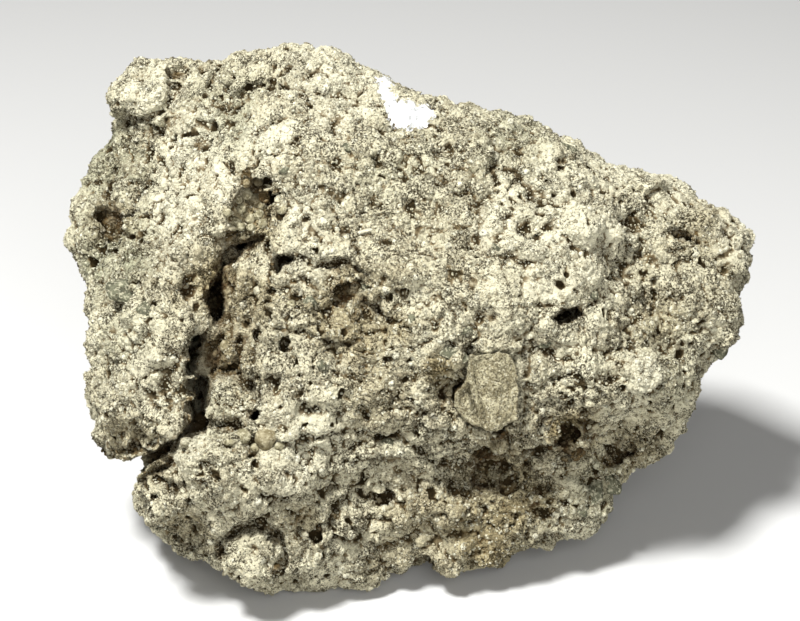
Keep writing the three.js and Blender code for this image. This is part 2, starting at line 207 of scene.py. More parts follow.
def finish_with(thing, kind, **settings):
    """Adds a modifier to an object and applies it."""
    pick(thing)
    modifier = thing.modifiers.new(kind.lower(), kind)
    for key, value in settings.items():
        setattr(modifier, key, value)
    bpy.ops.object.modifier_apply(modifier=modifier.name)


def joined(thing, *more):
    """The given objects as one."""
    pick(thing, *more)
    bpy.ops.object.join()
    return bpy.context.object


def cut_away(thing, cutter):
    """Cuts one closed mesh out of another and removes the cutter."""
    finish_with(thing, "BOOLEAN", operation="DIFFERENCE", solver="MANIFOLD", object=cutter)
    bpy.data.objects.remove(cutter, do_unlink=True)


def vertices_of(thing):
    places = np.empty(len(thing.data.vertices) * 3)
    thing.data.vertices.foreach_get("co", places)
    return places.reshape(-1, 3)


def normals_of(thing):
    normals = np.empty(len(thing.data.vertices) * 3)
    thing.data.vertex_normals.foreach_get("vector", normals)
    return normals.reshape(-1, 3)


def put_vertices(thing, places):
    thing.data.vertices.foreach_set("co", places.ravel())
    thing.data.update()


def tree_of(thing):
    """A mesh's faces sorted for finding where a ray meets them."""
    mesh = thing.data
    return BVHTree.FromPolygons([v.co for v in mesh.vertices], [list(p.vertices) for p in mesh.polygons])


def note(thing, name, values):
    """Keeps one number for each vertex, for the material to read."""
    attribute = thing.data.attributes.new(name, "FLOAT", "POINT")
    attribute.data.foreach_set("value", np.asarray(values, dtype=np.float32))


# %% [markdown]
# ## Holes and lumps placed one by one
# A few holes, slits and lumps catch the eye, so they are where they are on the real block. Each is a
# rough pebble. Holes are cut with a Boolean, which leaves deep, dark, undercut walls that moving the skin
# could not.

# %% Where the skin is
stone = copy_of("tufa_body", "tufa_stone")
first_skin = tree_of(stone)
OUT_OF_REACH = 150  # mm in front of the face, well clear of the stone


def skin_at(u, v, tree=first_skin):
    """The outermost point of the skin over a point of the face, or None past its edge."""
    return tree.ray_cast(on_stone(u, v, OUT_OF_REACH), -OUTWARD)[0]


def swung(places, degrees):
    """Points turned about their third axis."""
    swing = math.radians(degrees)
    turned = places.copy()
    turned[:, 0] = places[:, 0] * math.cos(swing) - places[:, 1] * math.sin(swing)
    turned[:, 1] = places[:, 0] * math.sin(swing) + places[:, 1] * math.cos(swing)
    return turned


def pebble_at(place, half, turn, roughness, seed, rings=4):
    """A rough pebble at a place of the face's frame, with half sizes along u, v and w."""
    deselect()
    bpy.ops.mesh.primitive_ico_sphere_add(subdivisions=rings, radius=1)
    pebble = bpy.context.object
    places = vertices_of(pebble)
    places *= 1 + roughness * rolling(places, 0.8, seed)[:, None]
    turned = swung(places * np.array(half), turn)
    put_vertices(pebble, np.array(on_stone(*place)) + turned @ FACE_AXES * MM)
    return pebble


def level_at(u, v, tree=first_skin):
    """How far out the skin is over a point of the face, in millimetres."""
    return face_places(skin_at(u, v, tree))[2]


# %% [markdown]
# The fissure is the stone's strongest feature: a crooked black gap between the left part and the bench
# beside it, which runs out at the lower left. Its dark parts are drawn as outlines on the face. For each,
# a disc with as many corners is added, its corners are moved to the outline, and it is extruded straight
# back from the viewer.

# %% Draw the gaps
GAPS = {  # name: (how far back it goes, outline in u and v)
    "pisolith_wall": (22, [
        (-38.0, 18.2), (-36.6, 20.2), (-35.4, 22.4), (-33.8, 24.8), (-32.2, 26.8), (-30.0, 28.2),
        (-28.0, 28.4), (-27.7, 25.0), (-28.0, 21.0), (-28.3, 17.6), (-31.0, 16.8), (-34.0, 16.8),
        (-36.0, 17.0),
    ]),
    "upper_gap": (-4, [
        (-28.5, 17.2), (-30.4, 16.9), (-32.2, 16.3), (-33.6, 15.7), (-35.2, 15.1), (-36.5, 14.2),
        (-37.2, 12.3), (-37.9, 10.2), (-38.5, 8.1), (-39.1, 5.6), (-39.4, 3.4), (-39.1, 1.7),
        (-38.9, -0.3), (-37.8, -0.6), (-37.2, 1.3), (-36.9, 3.4), (-37.2, 5.2), (-36.9, 7.2),
        (-36.6, 9.4), (-35.4, 10.3), (-34.0, 11.3), (-33.4, 12.7), (-32.4, 14.2), (-31.2, 15.2),
        (-29.6, 15.9), (-28.6, 16.4),
    ]),
    "middle_gap": (-4, [
        (-43.6, -3.0), (-41.5, -2.8), (-41.0, -4.4), (-41.6, -6.4), (-42.8, -7.4), (-43.8, -5.6),
    ]),
    "lower_gap": (-6, [
        (-42.2, -10.1), (-40.3, -10.1), (-40.4, -13.3), (-40.6, -16.3), (-39.9, -18.8), (-38.8, -20.5),
        (-39.4, -21.8), (-41.7, -22.6), (-44.6, -24.2), (-47.4, -25.6), (-49.6, -27.4), (-51.9, -28.9),
        (-54.3, -30.2), (-58.5, -28.6), (-56.1, -27.7), (-51.3, -26.2), (-48.8, -25.0), (-45.4, -22.5),
        (-42.5, -21.0), (-43.0, -17.1), (-42.4, -14.1),
    ]),
    "crown_slit": (10, [
        (-28.5, 26.0), (-27.8, 26.2), (-27.3, 24.4), (-27.5, 22.4), (-28.1, 22.2), (-28.4, 24.0),
    ]),
    "step_slit": (17, [
        (-27.0, 12.4), (-25.6, 13.2), (-23.6, 12.9), (-22.5, 12.2), (-23.6, 11.9), (-25.4, 12.0),
        (-26.2, 11.2), (-26.5, 9.6), (-27.3, 9.9),
    ]),
    "wedge_gap": (14, [
        (-32.6, -19.0), (-30.9, -18.2), (-29.8, -17.3), (-29.5, -18.0), (-30.6, -19.2), (-32.4, -19.7),
    ]),
}


def jagged(outline, seed, step=0.7, off=0.45):
    """The same outline with more corners, each a little off the line."""
    corners = np.array(outline)
    points = []
    for start, end in zip(corners, np.roll(corners, -1, axis=0)):
        parts = max(1, round(np.linalg.norm(end - start) / step))
        points += [start + (end - start) * part / parts for part in range(parts)]
    points = np.array([(u, v, 0) for u, v in points])
    aside = np.stack([rolling(points, 1.1, seed), rolling(points, 1.1, seed + 1)], axis=1)
    return points[:, :2] + off * aside


def gap_cutter(back, outline, front=60, drawn_at=20):
    """A straight-sided cutter through an outline, spreading a little as the view does."""
    deselect()
    bpy.ops.mesh.primitive_circle_add(vertices=len(outline), radius=1, fill_type="NGON")
    cutter = bpy.context.object
    flat = np.array([(u, v, drawn_at) for u, v in outline])
    near, far = ((flat - EYE) * (EYE[2] - w) / (EYE[2] - drawn_at) + EYE for w in (front, back))
    put_vertices(cutter, np.array([on_stone(*corner) for corner in near]))
    bpy.ops.object.mode_set(mode="EDIT")
    bpy.ops.mesh.select_all(action="SELECT")
    bpy.ops.mesh.extrude_region_move()
    bpy.ops.object.mode_set(mode="OBJECT")
    places = vertices_of(cutter)
    moved = np.array([v.select for v in cutter.data.vertices])
    order = [int(np.argmin(np.linalg.norm(near - corner, axis=1))) for corner in face_places(places[moved])]
    places[moved] = [on_stone(*far[index]) for index in order]
    put_vertices(cutter, places)
    bpy.ops.object.mode_set(mode="EDIT")
    bpy.ops.mesh.select_all(action="SELECT")
    bpy.ops.mesh.quads_convert_to_tris()
    bpy.ops.mesh.normals_make_consistent(inside=False)
    bpy.ops.object.mode_set(mode="OBJECT")
    return cutter


def cut_through(thing, back, outline):
    """Cuts a mesh straight back through an outline, as far as the given w."""
    cut_away(thing, gap_cutter(back, outline))


for name, (back, outline) in GAPS.items():
    cut_through(stone, back, outline)
    print(name, "cut:", len(stone.data.polygons), "faces")

# %% [markdown]
# The walls of a gap in tufa aren't clean: crumbs and rounded grains stand out of them at every depth.
# Rough pebbles are set along each outline, some deep and some shallow, half in the wall and half in the
# gap.

# %% Crumble the walls of the gaps
def wall_pebbles(outline, seed, spacing=1.0, deepest=9.0):
    """Pebbles along a gap's outline, at random depths below the skin beside it."""
    dice = np.random.default_rng(seed)
    corners = np.array(outline)
    pebbles = []
    for start, end in zip(corners, np.roll(corners, -1, axis=0)):
        along = end - start
        length = np.linalg.norm(along)
        beside = np.array([along[1], -along[0]]) / length
        if inside_by(((start + end) / 2 + 0.1 * beside)[None], corners)[0] > 0:
            beside = -beside
        for _ in range(max(1, round(length / spacing))):
            place = start + along * dice.random() + beside * dice.uniform(-0.1, 0.5)
            deep = deepest * dice.random() ** 1.5
            size = dice.uniform(0.55, 1.35)
            half = size * dice.uniform(0.75, 1.2, 3)
            on_rim = place + 1.8 * beside
            if skin_at(*on_rim) is not None:
                out = level_at(*on_rim) - 0.4 - deep
                turn = 360 * dice.random()
                pebbles.append(pebble_at((*place, out), half, turn, 0.18, seed + len(pebbles), 2))
    return pebbles


gap_walls = [
    pebble for index, name in enumerate(("upper_gap", "middle_gap", "lower_gap", "pisolith_wall"))
    for pebble in wall_pebbles(GAPS[name][1], 700 + 90 * index)
]
print(len(gap_walls), "pebbles in the walls of the gaps")

# %% [markdown]
# Holes that catch the eye are rough pebbles too, joined into one cutter so that one Boolean cuts them
# all.

# %% Cut the holes
HOLES = [  # u, v, half sizes along u, v and w, turn
    (30.1, 0.7, 3.3, 0.7, 6, 27), (33.0, 2.1, 1.0, 0.7, 3, 30), (28.0, -0.9, 1.2, 0.8, 4, 30),
    (-12.4, 5.0, 1.0, 0.6, 2.2, 10), (-23.8, -3.9, 0.6, 1.1, 2.4, 8), (5.2, -8.7, 0.9, 0.8, 2.0, -20),
    (3.7, 13.6, 0.6, 0.4, 1.6, 30), (27.1, 20.5, 0.9, 0.5, 2.2, 10), (54.8, 16.6, 2.2, 0.7, 3, -18),
    (48.0, -0.9, 0.4, 1.8, 3, 6), (58.2, 2.9, 0.8, 0.7, 2.4, 0), (53.1, 9.6, 0.5, 1.7, 2, 4),
    (31.6, -22.0, 1.8, 0.8, 3, 32), (28.6, -24.4, 1.0, 0.6, 2.4, 10), (16.2, -31.2, 1.4, 0.7, 2.4, -8),
    (20.2, -28.4, 0.9, 0.6, 2, 20), (41.8, -27.4, 1.6, 0.6, 2.4, 30), (9.4, -30.6, 0.9, 0.7, 2.2, 0),
    (-18.4, -41.7, 0.7, 1.0, 2.4, 5), (-39.8, -28.4, 1.6, 0.6, 2.6, 12), (-42.9, -42.2, 3.0, 0.7, 3, -18),
    (-60.0, 20.4, 1.2, 1.6, 2.6, 5), (-50.9, 4.4, 0.4, 1.4, 3, 14), (-48.6, 4.6, 0.7, 0.6, 2.4, 0),
    (-49.4, 1.2, 1.1, 0.5, 2.4, -30), (-47.2, 13.2, 0.7, 0.4, 2, -30), (-24.6, 4.8, 1.0, 1.1, 3, 0),
    (1.4, -47.4, 2.4, 1.1, 5, 20), (-18.6, -27.2, 1.2, 0.5, 2, 10), (-29.6, 43.4, 0.4, 1.2, 2.4, -4),
]
cutters = [
    pebble_at((u, v, level_at(u, v) - 0.2 * deep), (long, high, deep), turn, 0.6, 100 + 3 * index)
    for index, (u, v, long, high, deep, turn) in enumerate(HOLES)
]
cut_away(stone, joined(*cutters))
print("stone with its holes cut:", len(stone.data.polygons), "faces")

# %% [markdown]
# ## Lumps added
# The lumps that catch the eye are added one by one. Where the crust is a heap of rounded grains, as in
# the pocket at the left and on the brown slope beside the fissure, pebbles are strewn inside an outline
# instead.

# %% Add the lumps
LUMPS = [  # u, v, half sizes along u, v and w, turn, how far sunk
    (16.4, -4.7, 5.4, 1.4, 1.7, -4, 0.9), (34.6, -23.6, 2.8, 2.2, 2.0, 20, 0.2),
    (30.6, -18.6, 2.4, 1.6, 1.6, 30, 0.6), (-31.4, -7.2, 1.7, 4.4, 2.2, -8, 0.5),
    (-35.2, -5.6, 1.5, 2.2, 1.9, 10, 0.4), (-36.2, -9.0, 1.2, 1.3, 1.4, 0, 0.3),
    (-40.7, 3.4, 1.5, 1.9, 2.0, 10, 0.3), (-38.7, -2.3, 2.1, 1.8, 2.4, 20, -1.0),
    (-43.0, 1.6, 1.5, 1.2, 1.4, 0, 0.2), (-42.2, 7.2, 1.6, 1.3, 1.4, 30, 0.3),
    (-22.2, -21.6, 2.2, 1.8, 1.8, 0, 0.6), (-24.0, -29.6, 4.8, 4.2, 2.6, 20, 1.0),
    (-31.1, -46.0, 6.0, 5.2, 3.6, -30, 1.3), (-17.0, -3.5, 2.6, 2.0, 1.6, 20, 0.7),
    (12.0, 8.0, 2.8, 2.2, 1.5, -20, 0.8), (24.0, 12.0, 3.0, 2.2, 1.6, 30, 0.9),
    (-8.0, 26.0, 3.4, 2.4, 1.6, 10, 0.9), (2.0, -12.0, 2.2, 1.8, 1.6, 0, 0.7),
    (-13.5, -12.0, 2.4, 2.8, 1.8, 15, 0.8), (-52.0, -12.0, 3.2, 2.6, 1.7, -10, 0.8),
    (-57.0, -4.0, 2.2, 3.0, 1.5, 0, 0.7), (44.0, 4.0, 2.6, 3.0, 1.6, 20, 0.8),
    (56.0, 13.0, 2.6, 2.2, 1.6, 0, 0.8), (33.0, -14.0, 3.2, 2.0, 1.7, 25, 0.8),
    (44.8, -10.4, 3.8, 3.4, 2.0, 10, 0.7), (-20.6, 9.6, 4.4, 2.4, 1.8, 6, 0.6),
    (-20.4, 1.6, 3.8, 2.6, 1.8, -10, 0.8), (-23.8, 18.0, 3.2, 2.6, 1.6, 20, 0.8),
    (63.6, 11.6, 2.4, 4.2, 2.6, 0, 1.0), (-38.6, -27.6, 4.4, 2.6, 2.0, 24, 0.8),
    (-48.4, -33.4, 3.4, 2.6, 2.0, 10, 0.8), (-57.6, -17.6, 3.0, 3.6, 1.8, 0, 0.8),
    (36.4, 29.6, 3.0, 2.0, 1.6, -30, 0.8),
]
STREWN = {  # name: (how many, smallest and largest radius, how far sunk as a share of it, outline in u and v)
    "pocket": (54, 0.8, 1.45, 0.1, [
        (-64.0, 15.0), (-66.0, 20.0), (-63.5, 26.0), (-58.0, 27.0), (-55.0, 21.0), (-57.5, 15.0),
    ]),
    "ear": (40, 0.7, 1.3, 0.2, [
        (-70.0, 16.0), (-68.0, 24.0), (-63.0, 30.0), (-62.0, 22.0), (-63.0, 13.0), (-67.0, 11.0),
    ]),
    "slope": (80, 0.7, 1.6, 0.1, [
        (-48.0, 13.4), (-43.0, 15.2), (-38.6, 17.0), (-38.4, 10.0), (-40.0, 5.0), (-40.2, 0.0),
        (-41.8, -2.6), (-44.4, -2.4), (-45.0, 4.0), (-46.6, 10.0),
    ]),
    "wall": (48, 0.8, 1.5, 0.0, [
        (-37.0, 18.4), (-35.0, 22.2), (-32.4, 26.2), (-29.4, 28.0), (-28.2, 26.0), (-28.6, 18.4),
        (-33.0, 17.4),
    ]),
    "bench": (26, 0.5, 1.1, 0.4, [
        (-33.0, 14.0), (-29.0, 14.5), (-27.6, 10.0), (-29.0, 3.0), (-30.5, -1.0), (-36.0, -1.5),
        (-35.6, 8.0),
    ]),
    "overhang_right": (34, 0.6, 1.3, 0.1, [
        (25.0, -20.0), (36.0, -17.0), (38.0, -22.0), (34.0, -27.0), (26.0, -27.0),
    ]),
    "overhang_left": (44, 0.6, 1.3, 0.1, [
        (10.0, -24.0), (24.0, -24.0), (26.0, -30.0), (20.0, -35.0), (8.0, -33.0),
    ]),
    "lobe_top": (30, 0.7, 1.4, 0.2, [
        (-40.0, -22.6), (-24.0, -21.6), (-22.0, -26.0), (-32.0, -27.0), (-42.0, -26.0),
    ]),
    "block_underside": (30, 0.7, 1.3, 0.2, [
        (-60.0, -19.0), (-46.0, -19.0), (-46.0, -22.0), (-54.0, -27.0), (-60.0, -25.0),
    ]),
    "upper_left": (110, 0.7, 1.5, 0.35, [
        (-66.0, 28.0), (-58.0, 42.0), (-38.0, 46.0), (-33.0, 36.0), (-48.0, 26.0), (-56.0, 22.0),
    ]),
    "right_valley": (40, 0.6, 1.2, 0.3, [
        (42.0, 24.0), (52.0, 26.0), (58.0, 18.0), (52.0, 0.0), (44.0, -4.0), (42.0, 8.0),
    ]),
}
LEVELS = {"wall": 23.0, "slope": 22.6}  # w of the middle of a heap that doesn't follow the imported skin


def strewn_pebbles(how_many, smallest, largest, sink, outline, seed, level=None):
    """Pebbles at random places inside an outline of the face, on the skin or at a level of their own."""
    dice = np.random.default_rng(seed)
    corners = np.array(outline)
    pebbles = []
    while len(pebbles) < how_many:
        place = dice.uniform(corners.min(axis=0), corners.max(axis=0))
        if inside_by(place[None], corners)[0] < 0 or skin_at(*place, now_skin) is None:
            continue
        size = smallest + (largest - smallest) * dice.random() ** 1.4
        half = size * dice.uniform(0.8, 1.15, 3)
        out = min(level_at(*place), level_at(*place, now_skin) + 1.0) - sink * size
        if level is not None:
            out = level - 0.35 * (place[0] - corners[:, 0].mean()) - sink * size
        turn = 360 * dice.random()
        pebbles.append(pebble_at((*place, out), half, turn, 0.14, seed + len(pebbles), 2))
    return pebbles


now_skin = tree_of(stone)
strewn = []
for index, (name, row) in enumerate(STREWN.items()):
    strewn += strewn_pebbles(*row, seed=2000 + 150 * index, level=LEVELS.get(name))
lumps_added = [
    pebble_at((u, v, level_at(u, v) - sink), (long, high, deep), turn, 0.22, 300 + 3 * index)
    for index, (u, v, long, high, deep, turn, sink) in enumerate(LUMPS)
]
BACKING = [  # place, half sizes, turn: behind the heaps, so that nothing shows between their pebbles
    ((-30.2, 25.6, 19.8), (2.0, 2.6, 3.0), -10), ((-31.0, 22.4, 20.2), (3.0, 2.6, 3.0), 0),
    ((-31.4, 19.4, 20.2), (3.4, 2.2, 3.0), 10), ((-34.4, 18.8, 21.0), (2.2, 1.6, 3.0), 20),
    ((-42.8, 9.6, 18.6), (3.4, 6.2, 4.0), 14), ((-42.4, 3.0, 18.2), (2.6, 4.6, 4.0), 4),
    ((-40.6, 14.4, 20.0), (4.4, 2.4, 4.0), 24),
]
lumps_added += [pebble_at(*row, 0.15, 420 + index) for index, row in enumerate(BACKING)]
joined(stone, *lumps_added, *strewn, *gap_walls)
print("stone with", len(lumps_added), "lumps and", len(strewn), "pebbles:", len(stone.data.polygons), "faces")

# %% [markdown]
# The mass and its lumps are still separate closed skins that run through each other. A voxel remesh makes
# one skin of them, as the real lumps are cemented to the stone, and gives it cells of half a millimetre
# for the relief.

# %% Remesh the mass
CELL = 0.5 * MM
finish_with(stone, "REMESH", mode="VOXEL", voxel_size=CELL)
print("stone remeshed:", len(stone.data.vertices), "vertices")

# %% [markdown]
# Pebbles have now narrowed the gaps. Where nothing but darkness shows between them, the mass is cut once
# more, with a jagged outline, and it is remeshed again so that the new walls have as many faces as the
# rest.

# %% Open the dark parts of the gaps
DARK_PARTS = [  # how far back, outline in u and v
    (-4, [
        (-28.4, 17.1), (-30.6, 16.5), (-32.9, 15.7), (-34.9, 15.5), (-36.8, 14.4), (-37.4, 12.6),
        (-38.2, 9.7), (-39.2, 6.7), (-39.8, 3.6), (-39.2, 0.1), (-38.4, -0.7), (-37.3, -0.1),
        (-36.6, 2.4), (-36.8, 5.0), (-36.5, 7.9), (-36.4, 9.7), (-34.3, 11.2), (-32.7, 13.4),
        (-30.6, 15.1), (-28.4, 16.2),
    ]),
    (-4, [
        (-43.6, -2.8), (-41.9, -2.5), (-41.1, -3.7), (-41.3, -5.2), (-42.1, -6.7), (-43.5, -7.0),
        (-44.0, -5.2),
    ]),
    (-6, [
        (-42.0, -10.2), (-40.3, -10.0), (-39.6, -11.6), (-40.0, -14.0), (-40.2, -17.0), (-39.8, -19.0),
        (-39.0, -20.4), (-40.3, -21.4), (-42.0, -22.4), (-44.2, -23.4), (-46.6, -25.4), (-48.9, -27.2),
        (-52.0, -29.4), (-54.6, -31.6), (-59.0, -35.0), (-59.0, -27.2), (-55.0, -27.2), (-53.1, -26.6),
        (-51.4, -25.7), (-48.9, -24.2), (-46.6, -22.2), (-44.8, -20.8), (-42.4, -19.6), (-42.4, -18.0),
        (-41.8, -16.4), (-42.0, -13.4),
    ]),
    (12, [(-28.2, 26.2), (-27.5, 25.8), (-27.2, 24.0), (-27.5, 22.6), (-28.1, 22.4), (-28.4, 24.2)]),
    (17, [
        (-26.9, 12.5), (-24.8, 12.9), (-22.8, 12.6), (-22.8, 11.7), (-25.1, 11.4), (-25.5, 9.9),
        (-26.1, 8.3), (-26.9, 8.7), (-26.6, 10.7),
    ]),
    (19, [(-28.4, 6.4), (-27.0, 6.6), (-26.4, 5.4), (-27.4, 4.6), (-28.3, 5.2)]),
    (14, [
        (-32.7, -19.2), (-31.2, -18.8), (-30.4, -18.0), (-29.4, -17.3), (-29.4, -18.6), (-30.4, -19.6),
        (-32.1, -20.0),
    ]),
    (18, [(-30.0, -5.0), (-29.5, -4.8), (-29.3, -9.6), (-29.9, -9.8)]),
    (18, [(-36.4, -2.8), (-33.6, -1.7), (-31.0, -2.0), (-31.1, -2.6), (-33.6, -2.5), (-36.0, -3.5)]),
    (15, [
        (26.8, 0.5), (27.8, -0.2), (28.6, -1.4), (30.8, -0.7), (32.8, 0.5), (33.9, 2.3), (32.3, 2.9),
        (29.7, 2.0),
    ]),
    (10, [(48.1, 0.4), (49.2, 0.2), (49.2, -2.0), (50.0, -4.4), (49.1, -4.4), (48.2, -2.4)]),
]
for index, (back, outline) in enumerate(DARK_PARTS):
    cut_through(stone, back, jagged(outline, 860 + 2 * index))
dim_lump = pebble_at((-35.6, 12.7, 13), (1.8, 1.9, 3), 10, 0.2, 377)  # stands dimly inside the upper gap
joined(stone, dim_lump)
finish_with(stone, "REMESH", mode="VOXEL", voxel_size=CELL)
finish_with(stone, "SMOOTH", factor=0.5, iterations=3)
print("stone with its dark gaps open:", len(stone.data.vertices), "vertices")

# %% [markdown]
# ## The rim
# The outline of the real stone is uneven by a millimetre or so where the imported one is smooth. Its rim is
# pulled in or out in a few places, as with a grab brush: most in the middle, less towards the brush's
# edge. The foot stays.

# %% Pull the rim into line
GRABS = [  # u, v, reach, how far it is moved along u and v
    (-31, 57, 10, 0.0, -1.4), (-13, 54, 10, -1.0, -1.4), (7, 45, 10, 0.0, -0.6),
    (28.8, 40.2, 12, -0.6, -1.4), (50.5, 31, 9, 0.0, -0.8), (70, 14.4, 10, 1.8, 0.2),
    (68, -1, 9, 1.1, 0.0), (53, -27, 12, 0.9, -0.7), (39, -41, 9, 0.9, -0.9), (-63, 47.5, 6, 1.6, 0.0),
    (-55.6, 54.6, 5, 0.0, 1.3), (-46.3, 54.4, 4, 0.0, 1.1), (-66.5, 33, 9, 1.3, 0.0),
    (-68, 7.2, 7, 1.4, 0.0), (-66.5, -5, 6, 0.8, 0.0), (-66, -22.5, 6, 1.2, 0.0),
    (-70.4, 16.5, 5, -0.7, 0.0), (-51.5, -43.5, 8, -0.8, -0.8),
]
places = vertices_of(stone)
at = face_places(places)
foot = soft_step(places[:, 2] / MM, 0.4, 3.0)
for u, v, reach, along_u, along_v in GRABS:
    held = 1 - soft_step(np.hypot(at[:, 0] - u, at[:, 1] - v) / reach, 0.1, 1.2)
    places += (held * foot * MM)[:, None] * (along_u * FACE_AXES[0] + along_v * FACE_AXES[1])
put_vertices(stone, places)
print("rim moved in", len(GRABS), "places")

# %% [markdown]
# ## Relief
# Lumps of nearly a centimetre, nodules of four millimetres and grit of two are pushed out along the
# normals, and crumbled hollows are pushed in where soft noise runs high. In some places of the face the
# crust crumbles more, and in a few of them pieces have fallen out. Those are drawn on the face, and a
# spot of the back has the same u and v, so they are kept to the front. The foot stays flat.

# %% Push the relief out
normals = normals_of(stone)
at = face_places(places)
lumps, _ = cobbles(at + 1.2 * rolling(at, 5, 3)[:, None], 9.0, 21)
nodules, nodule_own = cobbles(at + 0.8 * rolling(at, 3, 5)[:, None], 4.2, 33)
grit, grit_own = cobbles(at + 0.3 * rolling(at, 1.5, 7)[:, None], 2.0, 47)
crumbled = soft_step(rolling(at, 6, 61), 0.3, 0.9)
in_front = soft_step(at[:, 2], -4, 2) * soft_step(normals @ FACE_AXES[2], -0.3, 0.1)
RAGGED = [  # u, v, reach: where the crust crumbles most
    (-12, 3, 14), (31, -22, 10), (18, -29, 12), (44, -28, 8), (8, -14, 7), (-8, -34, 12), (-46, -40, 8),
    (46, 0, 8), (-60, 20, 7), (-42, 8, 8), (-52, -25, 8), (22, -40, 14), (54, 16, 6), (-20, -42, 8),
    (0, -18, 8),
]
BROKEN = [  # u, v, reach: where pieces have fallen out and left steep hollows
    (31, -22, 9), (18, -30, 10), (44, -28, 8), (9, -31, 7), (8, -14, 5), (26, -37, 8), (-8, -38, 9),
]


def within_any(zones, full_to):
    """1 in each round zone out to the given share of its reach, falling to 0 outside it."""
    strength = np.zeros(len(at))
    for u, v, reach in zones:
        gap = np.hypot(at[:, 0] - u, at[:, 1] - v) / reach
        strength = np.maximum(strength, 1 - soft_step(gap, full_to, 1.2))
    return strength


raggedness = within_any(RAGGED, 0.4) * in_front
broken = within_any(BROKEN, 0.5) * (in_front * soft_step(rolling(at, 2.8, 64), 0.1, 0.5))
swells = rolling(at, 13, 29)
height = 1.1 * swells + 2.0 * (lumps - 0.8)
height += (0.3 + 0.9 * nodule_own) * (nodules - 0.75) * (1 + 0.6 * raggedness)
height += (0.3 + 0.5 * grit_own) * (grit - 0.7) * (1 + 0.5 * raggedness) + 0.3 * rolling(at, 2.2, 71)
rotten = 1.3 * raggedness * soft_step(rolling(at, 3.2, 63), 0.0, 0.8)
height -= (1.5 * crumbled + rotten) * (0.4 + 0.8 * (1 - nodules))
height -= 1.8 * broken

# %% [markdown]
# Below the sandstone block the face falls back into a band of brown hollows, and there are dips
# elsewhere. They have no rim, so the skin is pushed straight back there, more where noise is high.

# %% Dent the face
DENTS = [  # u, v, half sizes along u and v, turn, depth
    (31.5, -22.5, 7.5, 3.6, 24, 1.6), (18.5, -30.0, 8.0, 4.2, 4, 1.6), (9.0, -30.5, 5.0, 3.6, 20, 1.2),
    (42.0, -27.5, 6.0, 2.8, 32, 1.4), (25.0, -36.0, 6.0, 3.4, 10, 1.6), (-12.0, 4.5, 9.0, 5.0, -20, 1.6),
    (4.5, -1.0, 3.2, 2.4, 10, 1.4), (7.6, -13.5, 2.6, 5.0, 0, 1.6), (-20.0, 10.5, 7.0, 2.6, 0, 0.8),
    (54.6, 17.0, 4.6, 2.6, -20, 1.6), (-60.0, 20.0, 4.6, 6.0, 10, 1.2), (-42.5, -40.0, 5.0, 2.4, -18, 2.4),
    (-39.5, -28.6, 3.6, 1.8, 15, 1.6), (-21.5, -40.0, 3.0, 5.0, 0, 1.6), (46.0, 0.0, 3.5, 9.0, 14, 1.6),
    (3.0, -44.0, 10.0, 4.0, 8, 1.8), (-36.0, 40.0, 3.0, 5.0, 10, 1.6), (24.0, 33.0, 5.0, 2.4, -20, 1.4),
    (-54.0, -28.0, 11.0, 8.0, -8, 7.0), (-32.4, 8.0, 4.0, 6.0, 10, 1.0), (-32.6, -2.0, 3.4, 3.0, 0, 1.2),
    (-45.0, -45.0, 12.0, 5.0, -30, 3.0), (-32.0, 23.0, 3.6, 6.0, -30, 1.0), (22.8, -14.0, 1.8, 8.0, 0, 1.3),
    (17.5, -23.4, 5.4, 1.6, 14, 1.5), (8.6, -17.6, 1.5, 5.0, -6, 1.4), (6.6, -15.2, 2.6, 1.8, 30, 1.8),
]
pushed = np.zeros(len(at))
for u, v, long, high, turn, depth in DENTS:
    across, up, _ = swung(at - np.array([u, v, 0]), -turn).T
    within = 1 - soft_step(np.hypot(across / long, up / high) + 0.3 * rolling(at, 2.6, 73), 0.35, 1.15)
    pushed += depth * within * (0.75 + 0.35 * rolling(at, 1.8, 79))

# %% [markdown]
# Separate lumps show as such because a dark crease runs round them. The creases are drawn as lines on the
# face: round the wedged lump and the slabs above it, round the cobble in the foot, under the knobs of the
# crown.

